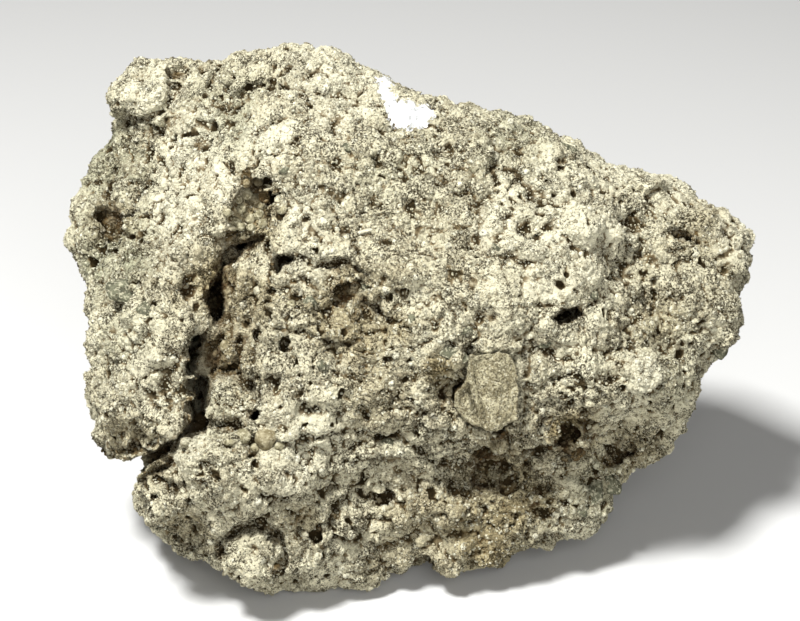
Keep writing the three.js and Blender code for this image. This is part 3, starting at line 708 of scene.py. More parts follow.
# %% Crease the face
CREASES = [  # half width, depth, points in u and v
    (1.1, 2.6, [
        (-28.4, 16.2), (-27.1, 13.2), (-26.4, 10.8), (-26.9, 7.9), (-27.7, 5.0), (-28.7, 2.4),
        (-29.4, -2.0),
    ]),
    (0.9, 3.0, [
        (-29.4, -2.2), (-29.6, -5.0), (-29.6, -9.9), (-29.5, -12.4), (-29.8, -15.6), (-29.2, -18.4),
    ]),
    (0.8, 2.4, [(-37.2, -3.6), (-33.8, -2.2), (-30.6, -2.4), (-29.5, -4.4)]),
    (0.7, 2.4, [(-33.6, -2.8), (-33.4, -7.4), (-33.0, -9.8)]),
    (0.9, 3.0, [(-40.4, -11.6), (-39.0, -10.2), (-36.0, -9.9), (-33.4, -10.8), (-30.8, -12.6)]),
    (1.0, 3.0, [(-39.2, -20.2), (-36.0, -20.6), (-32.4, -19.6), (-29.8, -18.0)]),
    (1.2, 3.4, [
        (-37.2, -46.0), (-36.6, -42.6), (-33.6, -40.4), (-29.6, -40.2), (-26.2, -42.4), (-24.8, -46.2),
        (-25.8, -50.0),
    ]),
    (0.9, 1.6, [(-58.0, 40.5), (-52.0, 41.2), (-48.8, 43.6), (-47.2, 48.0)]),
    (0.8, 1.5, [(-40.6, 47.0), (-38.8, 51.0)]),
    (0.9, 1.6, [(-24.8, 42.6), (-25.6, 47.6), (-24.4, 52.0)]),
    (0.7, 1.5, [(-29.8, -26.0), (-30.2, -30.0), (-28.4, -34.2), (-23.6, -35.2)]),
    (0.7, 1.4, [(48.4, 8.0), (48.2, 2.0), (48.0, -3.0), (50.6, -8.0)]),
    (0.9, 2.3, [(-22.6, 12.4), (-17.7, 10.6), (-12.8, 11.6), (-9.9, 9.5)]),
    (0.8, 1.9, [(-9.9, 4.0), (-5.0, 0.5), (0.0, -2.0)]),
    (0.8, 1.8, [(-21.6, -1.9), (-15.7, -4.8), (-9.9, -3.8)]),
    (0.9, 2.0, [(-3.0, -22.4), (1.8, -25.3), (5.8, -29.2)]),
    (0.8, 1.8, [(-20.0, -23.6), (-12.0, -21.6), (-5.0, -23.0)]),
    (0.6, 1.3, [(-27.0, -1.6), (-22.0, -2.2), (-18.6, -0.6)]),
    (0.6, 1.2, [(-58.6, 7.6), (-52.4, 7.4), (-51.0, 3.6), (-53.4, 1.4)]),
    (0.7, 1.5, [(-64.0, 9.6), (-61.0, 13.2), (-56.4, 14.8), (-52.4, 18.4)]),
    (0.6, 1.3, [(40.4, -8.2), (42.0, -13.8), (46.6, -14.8), (49.4, -11.4)]),
    (1.2, 3.2, [(11.2, -5.6), (11.0, -9.0), (10.0, -11.8), (7.8, -13.6)]),
]


def line_distance(points, line):
    """How far points are from a broken line, in its own units."""
    nearest = np.full(len(points), 1e9)
    corners = np.array(line)
    for start, end in zip(corners[:-1], corners[1:]):
        nearest = np.minimum(nearest, from_stretch(points, start, end))
    return nearest


frayed = rolling(at, 1.5, 75)
for half_width, depth, line in CREASES:
    off = line_distance(at[:, :2], line) / half_width + 0.3 * frayed
    pushed += depth * (1 - soft_step(off, 0.4, 1.3)) * (0.8 + 0.35 * frayed)

# %% [markdown]
# Small holes of one to three millimetres pock the whole crust. They are pressed in as well, and each
# vertex keeps how far it is down one, because the grains must leave them open and the material paints
# them dark, partly as dust and partly as painted shade.

# %% Press the pocks in
pocks = np.zeros(len(at))
for size, seed, share, depth in ((2.6, 53, 0.025, 1.3), (1.8, 57, 0.08, 0.9)):
    dome, own = cobbles(at + 0.5 * rolling(at, 1.4, seed)[:, None], size, seed)
    sunk = soft_step(dome, 0.35, 0.7) * (own < share)
    height -= depth * sunk
    pocks = np.maximum(pocks, sunk)
note(stone, "pock", pocks)
height -= np.median(height) + 0.3
by_gap = np.zeros(len(at))
for _, outline in DARK_PARTS:
    by_gap = np.maximum(by_gap, soft_step(inside_by(at[:, :2], np.array(outline)), -1.4, 0.2))
height *= 1 - 0.5 * by_gap
places += normals * (height * foot * MM)[:, None]
places -= np.array(OUTWARD) * (pushed * in_front * (1 - by_gap) * foot * MM)[:, None]
put_vertices(stone, places)
print("relief from", round(height.min(), 1), "to", round(height.max(), 1), "mm")

# %% [markdown]
# A skin of small equal cells spends as many faces on calm spots as on rough ones. Decimating takes them
# where they are missed least, and keeps the skin under 200,000 triangles.

# %% Thin the mesh
FACES_KEPT = 198000
faces_now = sum(len(p.vertices) - 2 for p in stone.data.polygons)
finish_with(stone, "DECIMATE", ratio=FACES_KEPT / faces_now)
print("stone thinned:", len(stone.data.polygons), "faces")
pocks = np.empty(len(stone.data.vertices), dtype=np.float32)
stone.data.attributes["pock"].data.foreach_get("value", pocks)

# %% [markdown]
# ## The sandstone block
# A block of sandstone is set in the face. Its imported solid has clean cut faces, but the real one has been
# worn: its edges are rounded, its face has shallow upright grooves where softer layers wore away, and it
# feels like coarse sandpaper. A copy is remeshed finely and the wear is pushed into it.

# %% Wear the sandstone block
block = copy_of("sandstone_block", "sandstone_skin")
finish_with(block, "REMESH", mode="VOXEL", voxel_size=0.24 * MM)
finish_with(block, "SMOOTH", factor=0.5, iterations=2)
block_places = vertices_of(block)
block_at = face_places(block_places)
grooves = rolling(block_at * np.array([1.0, 0.14, 0.35]), 1.1, 83)
knocks = np.clip(rolling(block_at, 3.6, 87), 0, 1)
sand = rolling(block_at, 0.8, 89)
ridge_at = 15.6 + 0.06 * (block_at[:, 1] + 12)  # an upright ridge; the face falls away to the left of it
left_of_it = soft_step(ridge_at - block_at[:, 0], 0, 1.2)
right_of_it = soft_step(block_at[:, 0] - ridge_at, 0.4, 4)
fallen = 1.2 * left_of_it + 0.6 * right_of_it
BLOCK_CREASE = [(10.2, -11.6), (11.8, -14.6), (13.2, -18.4), (13.6, -21.4)]
crease = 1 - soft_step(line_distance(block_at[:, :2], BLOCK_CREASE), 0.3, 1.1)
on_face = soft_step(normals_of(block) @ FACE_AXES[2], 0.5, 0.9)
worn = 0.34 * grooves - 0.4 * knocks + 0.24 * sand - on_face * (fallen + 1.3 * crease)
block_places += normals_of(block) * (worn * MM)[:, None]
put_vertices(block, block_places)
# Painted shade: the block's sides darken with depth behind its front, as the shade in the recess it sits in,
# noted as sheltered.
note(block, "sheltered", soft_step(block_at[:, 2].max() - block_at[:, 2], 4.5, 8))
print("block:", len(block.data.polygons), "faces")
print("wear from", round(worn.min(), 2), "to", round(worn.max(), 2), "mm")

# %% [markdown]
# ## How sheltered each spot is
# Hollows of tufa keep the brown dust that rain washes off everywhere else, and the material paints
# sheltered spots dark with it, partly as dust and partly as painted shade, the shade that falls in hollows,
# gaps and under overhangs. To know where they are, rays are sent out from each spot of a coarse copy of
# the skin, and the share of them that meets stone close by is kept.

# %% Look around from the skin
def sheltered_share(thing, reach, rays_each, faces_kept):
    """Spots on a coarse copy of the skin and the share of rays from each that meets stone within reach."""
    coarse = thing.copy()
    coarse.data = thing.data.copy()
    scene.collection.objects.link(coarse)
    finish_with(coarse, "DECIMATE", ratio=faces_kept / len(coarse.data.polygons))
    spots = vertices_of(coarse)
    facing = normals_of(coarse)
    tree = tree_of(coarse)
    rays = np.random.default_rng(5).normal(size=(rays_each, 3))
    rays /= np.linalg.norm(rays, axis=1, keepdims=True)
    share = np.zeros(len(spots))
    for index, (spot, normal) in enumerate(zip(spots, facing)):
        start = Vector(spot + normal * 0.6 * MM)
        ways = rays + normal * 1.05
        met = sum(tree.ray_cast(start, Vector(way), reach)[0] is not None for way in ways)
        share[index] = met / rays_each
    bpy.data.objects.remove(coarse, do_unlink=True)
    return spots, share


def nearest_values(known_spots, values, wanted_spots):
    """For each wanted spot, the value of the known spot that is nearest to it."""
    tree = KDTree(len(known_spots))
    for index, spot in enumerate(known_spots):
        tree.insert(spot, index)
    tree.balance()
    return np.array([values[tree.find(spot)[1]] for spot in wanted_spots])


spots_seen, share_blocked = sheltered_share(stone, reach=12 * MM, rays_each=22, faces_kept=30000)
middle, most = np.percentile(share_blocked, [50, 100])
print("sheltered share: middle", round(float(middle), 2), "most", round(float(most), 2))

# %% [markdown]
# ## The skin as arrays
# Grains need random spots on the skin, more of them in some places than in others. It is quickest to take
# the skin's triangles as arrays and choose among them by area.

# %% Read the skin
class Skin:
    """A mesh's skin as arrays, to set things on."""

    def __init__(self, thing):
        mesh = thing.data
        mesh.calc_loop_triangles()
        self.triangles = np.empty(len(mesh.loop_triangles) * 3, dtype=np.int32)
        mesh.loop_triangles.foreach_get("vertices", self.triangles)
        self.triangles = self.triangles.reshape(-1, 3)
        self.places = vertices_of(thing)
        self.normals = normals_of(thing)
        a, b, c = (self.places[self.triangles[:, k]] for k in range(3))
        self.areas = np.linalg.norm(np.cross(b - a, c - a), axis=1) / 2
        edges = np.empty(len(mesh.edges) * 2, dtype=np.int64)
        mesh.edges.foreach_get("vertices", edges)
        self.edges = edges.reshape(-1, 2)

    def evened(self, values, rounds):
        """Each vertex's place, or other row of values, averaged with its neighbours' again and again."""
        for _ in range(rounds):
            total = values.copy()
            count = np.ones(len(values))
            for one, other in ((0, 1), (1, 0)):
                np.add.at(total, self.edges[:, one], values[self.edges[:, other]])
                np.add.at(count, self.edges[:, one], 1)
            values = total / count[:, None]
        return values

    def of_triangles(self, values):
        return values[self.triangles].mean(axis=1)

    def random_spots(self, how_many, wanted, dice):
        """Random spots on the skin, more of them where `wanted` is high: places, normals and triangles."""
        share = self.areas * wanted
        chosen = dice.choice(len(share), how_many, p=share / share.sum())
        r, s = np.sqrt(dice.random(how_many)), dice.random(how_many)
        weights = np.stack([1 - r, r * (1 - s), r * s], axis=1)[:, :, None]
        spot = (self.places[self.triangles[chosen]] * weights).sum(axis=1)
        normal = (self.normals[self.triangles[chosen]] * weights).sum(axis=1)
        return spot, normal / np.linalg.norm(normal, axis=1, keepdims=True), chosen


skin = Skin(stone)
skin_at_face = face_places(skin.places)
skin_sheltered = nearest_values(spots_seen, share_blocked, skin.places)
hollow = ((skin.evened(skin.places, 5) - skin.places) * skin.normals).sum(axis=1) / MM
print("hollow, mm:", [round(float(h), 2) for h in np.percentile(hollow, [1, 10, 50, 90, 99])])

# %% [markdown]
# ## The patch of white paint
# A collector painted a small white patch near the top for a number. It is a thin, chipped skin of paint
# on the grains, with no thickness to speak of, so it is colour and gloss only. Its outline is drawn in the
# face's frame, and each vertex keeps its distance from that outline, so the material can break up the
# edge.

# %% Outline of the paint
PAINT_OUTLINE = np.array([
    (-7.2, 49.0), (-3.4, 49.0), (-3.1, 46.6), (-3.5, 45.2), (-2.4, 43.9), (0.0, 43.6), (2.0, 42.7),
    (4.1, 42.6), (5.0, 41.5), (5.0, 40.0), (3.9, 39.0), (3.5, 37.7), (1.4, 37.1), (-0.8, 37.1),
    (-3.5, 37.7), (-4.7, 39.1), (-5.0, 41.2), (-5.3, 42.8), (-6.4, 44.0), (-6.7, 45.6),
])
PAINT_ALLOWANCE = 3  # mm behind the foremost skin that the brush still reached
stone_skin = BVHTree.FromPolygons(
    [Vector(place) for place in skin.places], [list(map(int, triangle)) for triangle in skin.triangles])


def paint_over(points_at_face):
    """How far points are inside the paint's outline, in millimetres. Well behind the front there is none."""
    depth = np.clip(inside_by(points_at_face[:, :2], PAINT_OUTLINE), -PAINT_ALLOWANCE, PAINT_ALLOWANCE)
    for index in np.flatnonzero(depth > -1):
        u, v, w = points_at_face[index]
        hit = skin_at(u, v, stone_skin)
        behind = 0 if hit is None else face_places(hit)[2] - w
        depth[index] = min(depth[index], PAINT_ALLOWANCE - behind)
    return depth


skin_paint = paint_over(skin_at_face)
painted_area = skin.areas[skin.of_triangles(skin_paint) > 0].sum() / MM**2
print("paint covers", round(float(painted_area)), "mm2")

# %% [markdown]
# ## Stains
# The stone isn't one colour: moss has left the upper left side grey-green, and iron has browned the
# fissure and the hollows below. Brown patches, and a few green ones, on the undersides, the lower face
# and under the overhangs also stand in as painted shade, and pale patches on the bosses that face the
# light are partly paler stone and partly painted highlight. A few broad soft patches of each are listed.

# %% Place the stains
STAINS = {  # u, v, reach, strength
    # Green patches are old algae; the few on the lower face and under the overhang also stand in as painted
    # shade.
    "green": [
        (-62, 33, 11, 0.9), (-38, 44, 8, 0.5), (-60, 14, 12, 0.8), (-36, 38, 8, 0.7), (20, -42, 14, 0.4),
        (38, -34, 8, 0.6), (20, 36, 9, 0.5), (-38, -16, 7, 0.4), (52, -8, 12, 0.3), (-56, -4, 8, 0.4),
        (-2, 30, 10, 0.3),
    ],
    # Brown patches are iron stain and, on the undersides, the lower face and under the overhangs, also
    # painted shade.
    "brown": [
        (-31, 20, 8, 1.0), (-41, 8, 8, 1.0), (-33, 3, 9, 0.6), (-36, -6, 6, 0.8), (-33, -12, 5, 0.3),
        (31, -22, 9, 1.0), (18, -30, 12, 0.75), (-12, 2, 14, 0.7), (-54, -26, 10, 0.5),
        (16, -42, 16, 0.9), (-6, -14, 10, 0.5), (58, 20, 9, 0.5), (5, -44, 16, 0.6), (46, -28, 9, 0.6),
        (8, -14, 7, 0.6), (5, -9.5, 4, 1.0), (-60, 20, 6, 0.5), (-21, -40, 6, 0.6), (-44, -42, 6, 0.7),
        (48, 0, 6, 0.5),
    ],
    # Pale patches are paler stone and, on the bosses and ridges that face the light, painted highlight.
    "pale": [
        (-45, 22, 9, 1.0), (-43, 32, 11, 0.9), (-38, 26, 6, 0.8), (-46, 12, 6, 0.6), (-28, 36, 8, 0.7),
        (-15, 48, 12, 0.7), (-52, 46, 9, 0.6), (28, 16, 17, 0.7), (54, 26, 9, 0.7), (40, 31, 8, 0.6),
        (45, -10, 5, 0.9), (-20, -24, 9, 0.6), (66, 18, 7, 0.6), (-20, 10, 6, 0.7), (-52, -10, 9, 0.5),
        (-44, -24, 5, 0.7), (-24, -30, 6, 0.6), (-20, 22, 8, 0.5),
    ],
}


def stain_at(points_at_face, kind):
    """How strong one kind of stain is at points of the face's frame."""
    wander = 0.35 * rolling(points_at_face, 7, 91)
    strength = np.zeros(len(points_at_face))
    for u, v, reach, most in STAINS[kind]:
        gap = np.hypot(points_at_face[:, 0] - u, points_at_face[:, 1] - v) / reach + wander
        strength = np.maximum(strength, most * (1 - soft_step(gap, 0.3, 1.2)))
    return strength


clusters = soft_step(rolling(skin_at_face, 4.5, 97), -0.5, 0.5)
# Painted shade: the skin's tone is lowered where grains crowd, so the ground between them turns earth-dark as
# if in their shade.
note(stone, "tone", 0.5 - 0.25 * clusters)
# Painted shade: sheltered spots, concave spots and pocks are noted so that the material darkens them, partly
# as dust and partly as the shade that falls in them.
note(stone, "sheltered", skin_sheltered)
note(stone, "hollow", hollow + 0.35 * pocks)
note(stone, "paint", skin_paint)
for kind in STAINS:
    note(stone, kind, stain_at(skin_at_face, kind))

# %% [markdown]
# ## Grains
# The crust is a coat of separate grains. Each is a small lump half sunk in the surface. A few grain
# shapes are modelled once, then many copies of them, turned and sized differently, are joined into meshes
# of their own. Particles would be lost in the export, so the copies are real mesh.

# %% Model the grain shapes
def grain_shapes(add_ball, how_many, jitter, flatness):
    """A few rough little lumps one unit in radius, as arrays of their vertices, and the faces they share."""
    shapes = []
    for number in range(how_many):
        deselect()
        add_ball()
        lump = bpy.context.object
        bpy.ops.object.mode_set(mode="EDIT")
        bpy.ops.transform.vertex_random(offset=jitter, seed=number + 1)
        bpy.ops.transform.resize(value=(1, 0.8, flatness))
        bpy.ops.object.mode_set(mode="OBJECT")
        shapes.append(vertices_of(lump))
        faces = np.array([list(p.vertices) for p in lump.data.polygons])
        bpy.data.objects.remove(lump, do_unlink=True)
    return np.array(shapes), faces


def eight_sided():
    """Two four-sided cones base to base: the fewest faces that still read as a crumb."""
    bpy.ops.mesh.primitive_cone_add(vertices=4, radius1=1, radius2=0, depth=1, end_fill_type="NOTHING")
    bpy.ops.object.mode_set(mode="EDIT")
    bpy.ops.transform.translate(value=(0, 0, 0.5))
    bpy.ops.object.mode_set(mode="OBJECT")
    finish_with(bpy.context.object, "MIRROR", use_axis=(False, False, True))


def twenty_sided():
    bpy.ops.mesh.primitive_ico_sphere_add(subdivisions=1, radius=1)


def rounded():
    bpy.ops.mesh.primitive_uv_sphere_add(segments=6, ring_count=5, radius=1)
    bpy.ops.object.mode_set(mode="EDIT")
    bpy.ops.mesh.quads_convert_to_tris()
    bpy.ops.object.mode_set(mode="OBJECT")


grit_shapes = grain_shapes(eight_sided, 12, 0.35, 0.85)
crumb_shapes = grain_shapes(twenty_sided, 10, 0.38, 0.75)
round_shapes = grain_shapes(rounded, 8, 0.14, 0.85)


# %% [markdown]
# Tens of thousands of objects would choke the scene, and so would that many operator calls. All copies of
# a run are worked out as one array, each turned at random about the skin's normal, and written as one
# mesh.

# %% Join many grains
def turned_frames(normals, dice):
    """For each normal, three axes: two at random across it, and the normal."""
    across = np.cross(normals, dice.normal(size=normals.shape))
    across /= np.linalg.norm(across, axis=1, keepdims=True)
    return np.stack([across, np.cross(normals, across), normals], axis=1)


def joined_grains(name, grain_kind, spots, normals, radii, sheltered, dice):
    """One mesh of many copies of the given shapes, with the notes that the material reads."""
    shapes, faces = grain_kind
    frames = turned_frames(normals, dice)
    chosen = dice.integers(0, len(shapes), len(spots))
    own_places = shapes[chosen] * radii[:, None, None]
    points = np.einsum("nvk,nkj->nvj", own_places, frames) + spots[:, None, :]
    count = shapes.shape[1]
    all_faces = (faces[None] + (np.arange(len(spots)) * count)[:, None, None]).reshape(-1, 3)
    mesh = bpy.data.meshes.new(name)
    mesh.vertices.add(points.shape[0] * count)
    mesh.vertices.foreach_set("co", points.ravel())
    mesh.loops.add(all_faces.size)
    mesh.loops.foreach_set("vertex_index", all_faces.ravel())
    mesh.polygons.add(len(all_faces))
    mesh.polygons.foreach_set("loop_start", np.arange(0, all_faces.size, 3))
    mesh.update(calc_edges=True)
    mesh.validate()
    mesh.polygons.foreach_set("use_smooth", np.ones(len(all_faces), dtype=bool))
    thing = bpy.data.objects.new(name, mesh)
    scene.collection.objects.link(thing)
    at = face_places(spots)
    note(thing, "tone", np.repeat(dice.random(len(spots)), count))
    note(thing, "sheltered", np.repeat(sheltered, count))
    # Painted shade: the lower, buried side of each grain is noted as hollow, so the material darkens it as
    # the shade where the grain meets the skin.
    note(thing, "hollow", (0.1 - 0.45 * shapes[chosen][:, :, 2]).ravel())
    note(thing, "paint", np.repeat(paint_over(at), count))
    for kind in STAINS:
        note(thing, kind, np.repeat(stain_at(at, kind), count))
    print(name, len(spots), "grains,", len(all_faces), "faces")
    return thing


# %% [markdown]
# Grains lie thickly on the side that is seen, thinly behind. They leave the foot, the pocks, the deepest
# hollows and most of the paint free.

# %% Set the grains
dice = np.random.default_rng(11)
triangle_sheltered = skin.of_triangles(skin_sheltered)
triangle_at = face_places(skin.of_triangles(skin.places))
triangle_height = skin.of_triangles(skin.places)[:, 2] / MM
in_sight = 0.3 + 0.7 * soft_step(triangle_at[:, 2], -14, 4)
off_foot = soft_step(triangle_height, 0.9, 2.2)
bare = soft_step(skin.of_triangles(pocks), 0.15, 0.5)
unpainted = 1 - 0.9 * soft_step(skin.of_triangles(skin_paint), -0.5, 0.5)
crumbs_wanted = in_sight * off_foot * unpainted * (0.6 + 0.4 * skin.of_triangles(clusters))
crumbs_wanted *= 1 - 0.95 * bare
crumbs_wanted *= 1 - 0.5 * soft_step(triangle_sheltered, 0.8, 1.0)
grain_pieces = []
GRAIN_RUNS = [  # name, shapes, how many, smallest and largest radius in mm, how deep at least and at most
    ("grit_1", grit_shapes, 24000, 0.2, 0.42, -0.2, 0.4),
    ("grit_2", grit_shapes, 24000, 0.2, 0.42, -0.2, 0.4),
    ("grit_3", grit_shapes, 24000, 0.25, 0.5, -0.2, 0.4),
    ("crumbs", crumb_shapes, 9800, 0.35, 0.75, 0.1, 0.6),
    ("more_crumbs", crumb_shapes, 3400, 0.5, 0.95, 0.1, 0.6),
    ("round_grains", round_shapes, 1700, 0.5, 1.15, 0.2, 0.7),
]
for name, shapes, how_many, smallest, largest, high, deep in GRAIN_RUNS:
    spots, facing, chosen = skin.random_spots(how_many, crumbs_wanted, dice)
    radii = (smallest + (largest - smallest) * dice.random(how_many) ** 1.8) * MM
    spots = spots - facing * radii[:, None] * dice.uniform(high, deep, how_many)[:, None]
    grain_pieces.append(joined_grains(name, shapes, spots, facing, radii, triangle_sheltered[chosen], dice))

# %% [markdown]
# ## Bedded stones
# Small stones are bedded in the crust: rounded olive grains, most of them in the wall of the fissure,
# dark grey chips of harder rock across the face, and a few white ones. Each is modelled on its own and
# laid on the skin one by one. A ball is roughened, and for a chip its sides are pressed flat against a few
# planes, as a broken stone's are.

# %% Model one bedded stone
def flattened(places, planes, seed):
    """Presses a lump's sides flat against random planes, so that it has facets."""
    dice_here = np.random.default_rng(seed)
    for facing in dice_here.normal(size=(planes, 3)):
        facing = facing / np.linalg.norm(facing)
        beyond = places @ facing - dice_here.uniform(0.5, 0.72)
        places = places - np.clip(beyond, 0, None)[:, None] * facing
    return places


SPREAD = 0.618  # a seed times this, less its whole part, is spread evenly from 0 to 1


def bedded_stone(u, v, half, turn, tip, sink, planes, seed):
    """A small stone lying on the skin at a point of the face, tipped forward by `tip` degrees."""
    hit = skin_at(u, v, stone_skin)
    deselect()
    bpy.ops.mesh.primitive_ico_sphere_add(subdivisions=4, radius=1)
    lump = bpy.context.object
    places = vertices_of(lump)
    places = places * (1 + 0.15 * rolling(places, 0.9, seed) + 0.05 * rolling(places, 0.3, seed + 1))[:, None]
    places = flattened(places, planes, seed) * np.array(half)
    lift = math.radians(tip)
    tipped = places.copy()
    tipped[:, 1] = places[:, 1] * math.cos(lift) - places[:, 2] * math.sin(lift)
    tipped[:, 2] = places[:, 1] * math.sin(lift) + places[:, 2] * math.cos(lift) - sink
    turned = swung(tipped, turn)
    put_vertices(lump, np.array(hit) + turned @ FACE_AXES * MM)
    bpy.ops.object.shade_smooth()
    # Painted shade: each stone takes how sheltered its spot on the skin is, and the material darkens it as
    # dust and as the shade there.
    note(lump, "sheltered", nearest_values(spots_seen, share_blocked, np.array([hit])).repeat(len(places)))
    note(lump, "own", np.full(len(places), (seed * SPREAD) % 1))
    return lump


# %% [markdown]
# Each row is one stone, turned and tipped as it lies. Stones of a kind are joined, since they share a
# finish.

# %% Lay the bedded stones
BEDDED = {  # u, v, half sizes along u, v and w, turn, tip, how far sunk, flat sides
    "olive": [
        (-32.1, 24.7, (1.3, 1.2, 1.2), 0, 0, 0.0, 0), (-30.6, 23.5, (1.5, 1.4, 1.3), 20, 0, 0.0, 0),
        (-33.1, 21.8, (0.9, 0.9, 0.9), 10, 0, 0.0, 0), (-31.5, 20.0, (1.2, 1.1, 1.1), 18, 0, 0.0, 0),
        (-29.8, 20.7, (1.1, 1.1, 1.0), 0, 0, 0.0, 0), (-28.8, 18.9, (0.9, 1.0, 0.9), 0, 0, 0.0, 0),
        (-34.3, 19.4, (1.0, 0.9, 0.9), -30, 0, 0.1, 0), (-31.9, 26.8, (1.0, 0.9, 1.0), 30, 0, 0.0, 0),
        (-30.0, 27.2, (1.2, 1.1, 1.0), 0, 0, 0.1, 0), (-33.3, 18.4, (0.9, 0.8, 0.8), 0, 0, 0.0, 0),
        (-31.2, 18.2, (1.0, 0.8, 0.9), 0, 0, 0.0, 0), (-35.6, 21.0, (0.9, 0.8, 0.9), 0, 0, 0.1, 0),
        (-29.2, 22.4, (0.8, 0.9, 0.9), 0, 0, 0.0, 0), (-33.6, 23.6, (0.8, 0.8, 0.8), 0, 0, 0.1, 0),
        (-27.9, -22.6, (2.2, 2.2, 1.8), 0, 0, -0.4, 0), (-32.4, -22.4, (1.5, 1.4, 1.3), 0, 0, -0.2, 0),
        (-30.2, -24.6, (1.0, 0.9, 0.9), 0, 0, 0.1, 0), (-25.4, -24.2, (1.1, 0.9, 1.0), 0, 0, 0.1, 0),
        (-34.9, -23.4, (1.0, 0.8, 0.9), 0, 0, 0.1, 0), (-36.4, -5.0, (1.0, 1.2, 1.0), 0, 0, 0.1, 0),
        (-25.0, 21.4, (1.1, 0.8, 0.9), 10, 0, 0.2, 0), (-23.0, 3.0, (0.9, 1.0, 0.9), 0, 0, 0.2, 0),
    ],
    "white": [
        (-29.8, 5.8, (1.0, 0.9, 0.9), -20, 0, 0.3, 3), (-8.1, 17.3, (2.6, 0.8, 0.8), 16, 10, 0.3, 4),
        (-47.5, 21.5, (1.2, 0.8, 0.8), 20, 0, 0.5, 1), (-21.5, 6.0, (1.4, 1.1, 1.0), 10, 0, 0.6, 2),
    ],
    "grey": [
        (-55.9, 6.0, (3.8, 2.9, 1.6), -6, -14, 0.6, 6), (-51.5, 2.0, (1.9, 2.6, 1.3), 20, -10, 0.6, 5),
        (-8.6, 6.7, (1.4, 1.1, 1.1), 10, 0, 0.3, 3), (0.2, 0.4, (1.1, 0.9, 1.0), 0, 0, 0.2, 2),
        (10.6, -2.0, (1.4, 1.0, 1.0), 20, 0, 0.3, 3), (7.3, -6.6, (4.0, 1.8, 1.3), -22, 30, -0.2, 5),
        (37.6, -35.4, (3.3, 2.4, 1.3), 40, -20, 0.6, 6), (41.0, -33.4, (1.9, 2.9, 1.2), 24, -16, 0.6, 6),
        (34.4, -38.6, (2.2, 1.4, 1.0), -10, -20, 0.5, 5), (30.6, 34.2, (2.4, 1.0, 1.0), -14, 10, 0.4, 4),
        (-19.4, 3.6, (1.6, 1.3, 1.0), 20, 0, 0.5, 4), (12.4, 29.5, (1.3, 0.8, 0.9), 30, 0, 0.3, 3),
        (-17.0, -8.5, (1.5, 1.1, 1.0), -30, 0, 0.4, 4), (62.5, -6.0, (1.6, 1.9, 1.0), 0, 0, 0.5, 4),
        (25.8, -4.4, (1.3, 0.9, 0.9), 10, 0, 0.3, 3), (-4.5, -24.0, (1.5, 1.0, 0.9), -16, 0, 0.4, 4),
        (-24.5, 29.0, (1.2, 0.8, 0.8), 20, 0, 0.3, 3), (-12.0, 33.5, (1.4, 1.1, 0.9), 0, 0, 0.4, 3),
        (35.5, 5.5, (1.2, 1.5, 0.9), 30, 0, 0.4, 4), (16.5, 14.0, (1.2, 0.8, 0.8), -40, 0, 0.3, 3),
    ],
}
bedded_pieces = {}
for kind, rows in BEDDED.items():
    lumps_laid = [bedded_stone(*row, seed=200 + 7 * index + len(kind)) for index, row in enumerate(rows)]
    piece = joined(*lumps_laid)
    piece.name = f"bedded_{kind}_stones"
    bedded_pieces[kind] = piece
    print(piece.name, len(rows), "stones,", len(piece.data.polygons), "faces")

# %% [markdown]
# ## Materials
# Everything here is matt stone, so nearly all the work is in colour and fine relief. Each pattern is
# noise on the piece's own coordinates, at its true size in millimetres, and the notes kept on the
# vertices say where dust and painted shade, stains, painted highlight and paint are. A small class keeps
# the node building readable.

# %% Build materials node by node
FIRST_COLOUR, SECOND_COLOUR, MIXED_COLOUR = 6, 7, 2  # sockets of a Mix node when it mixes colours


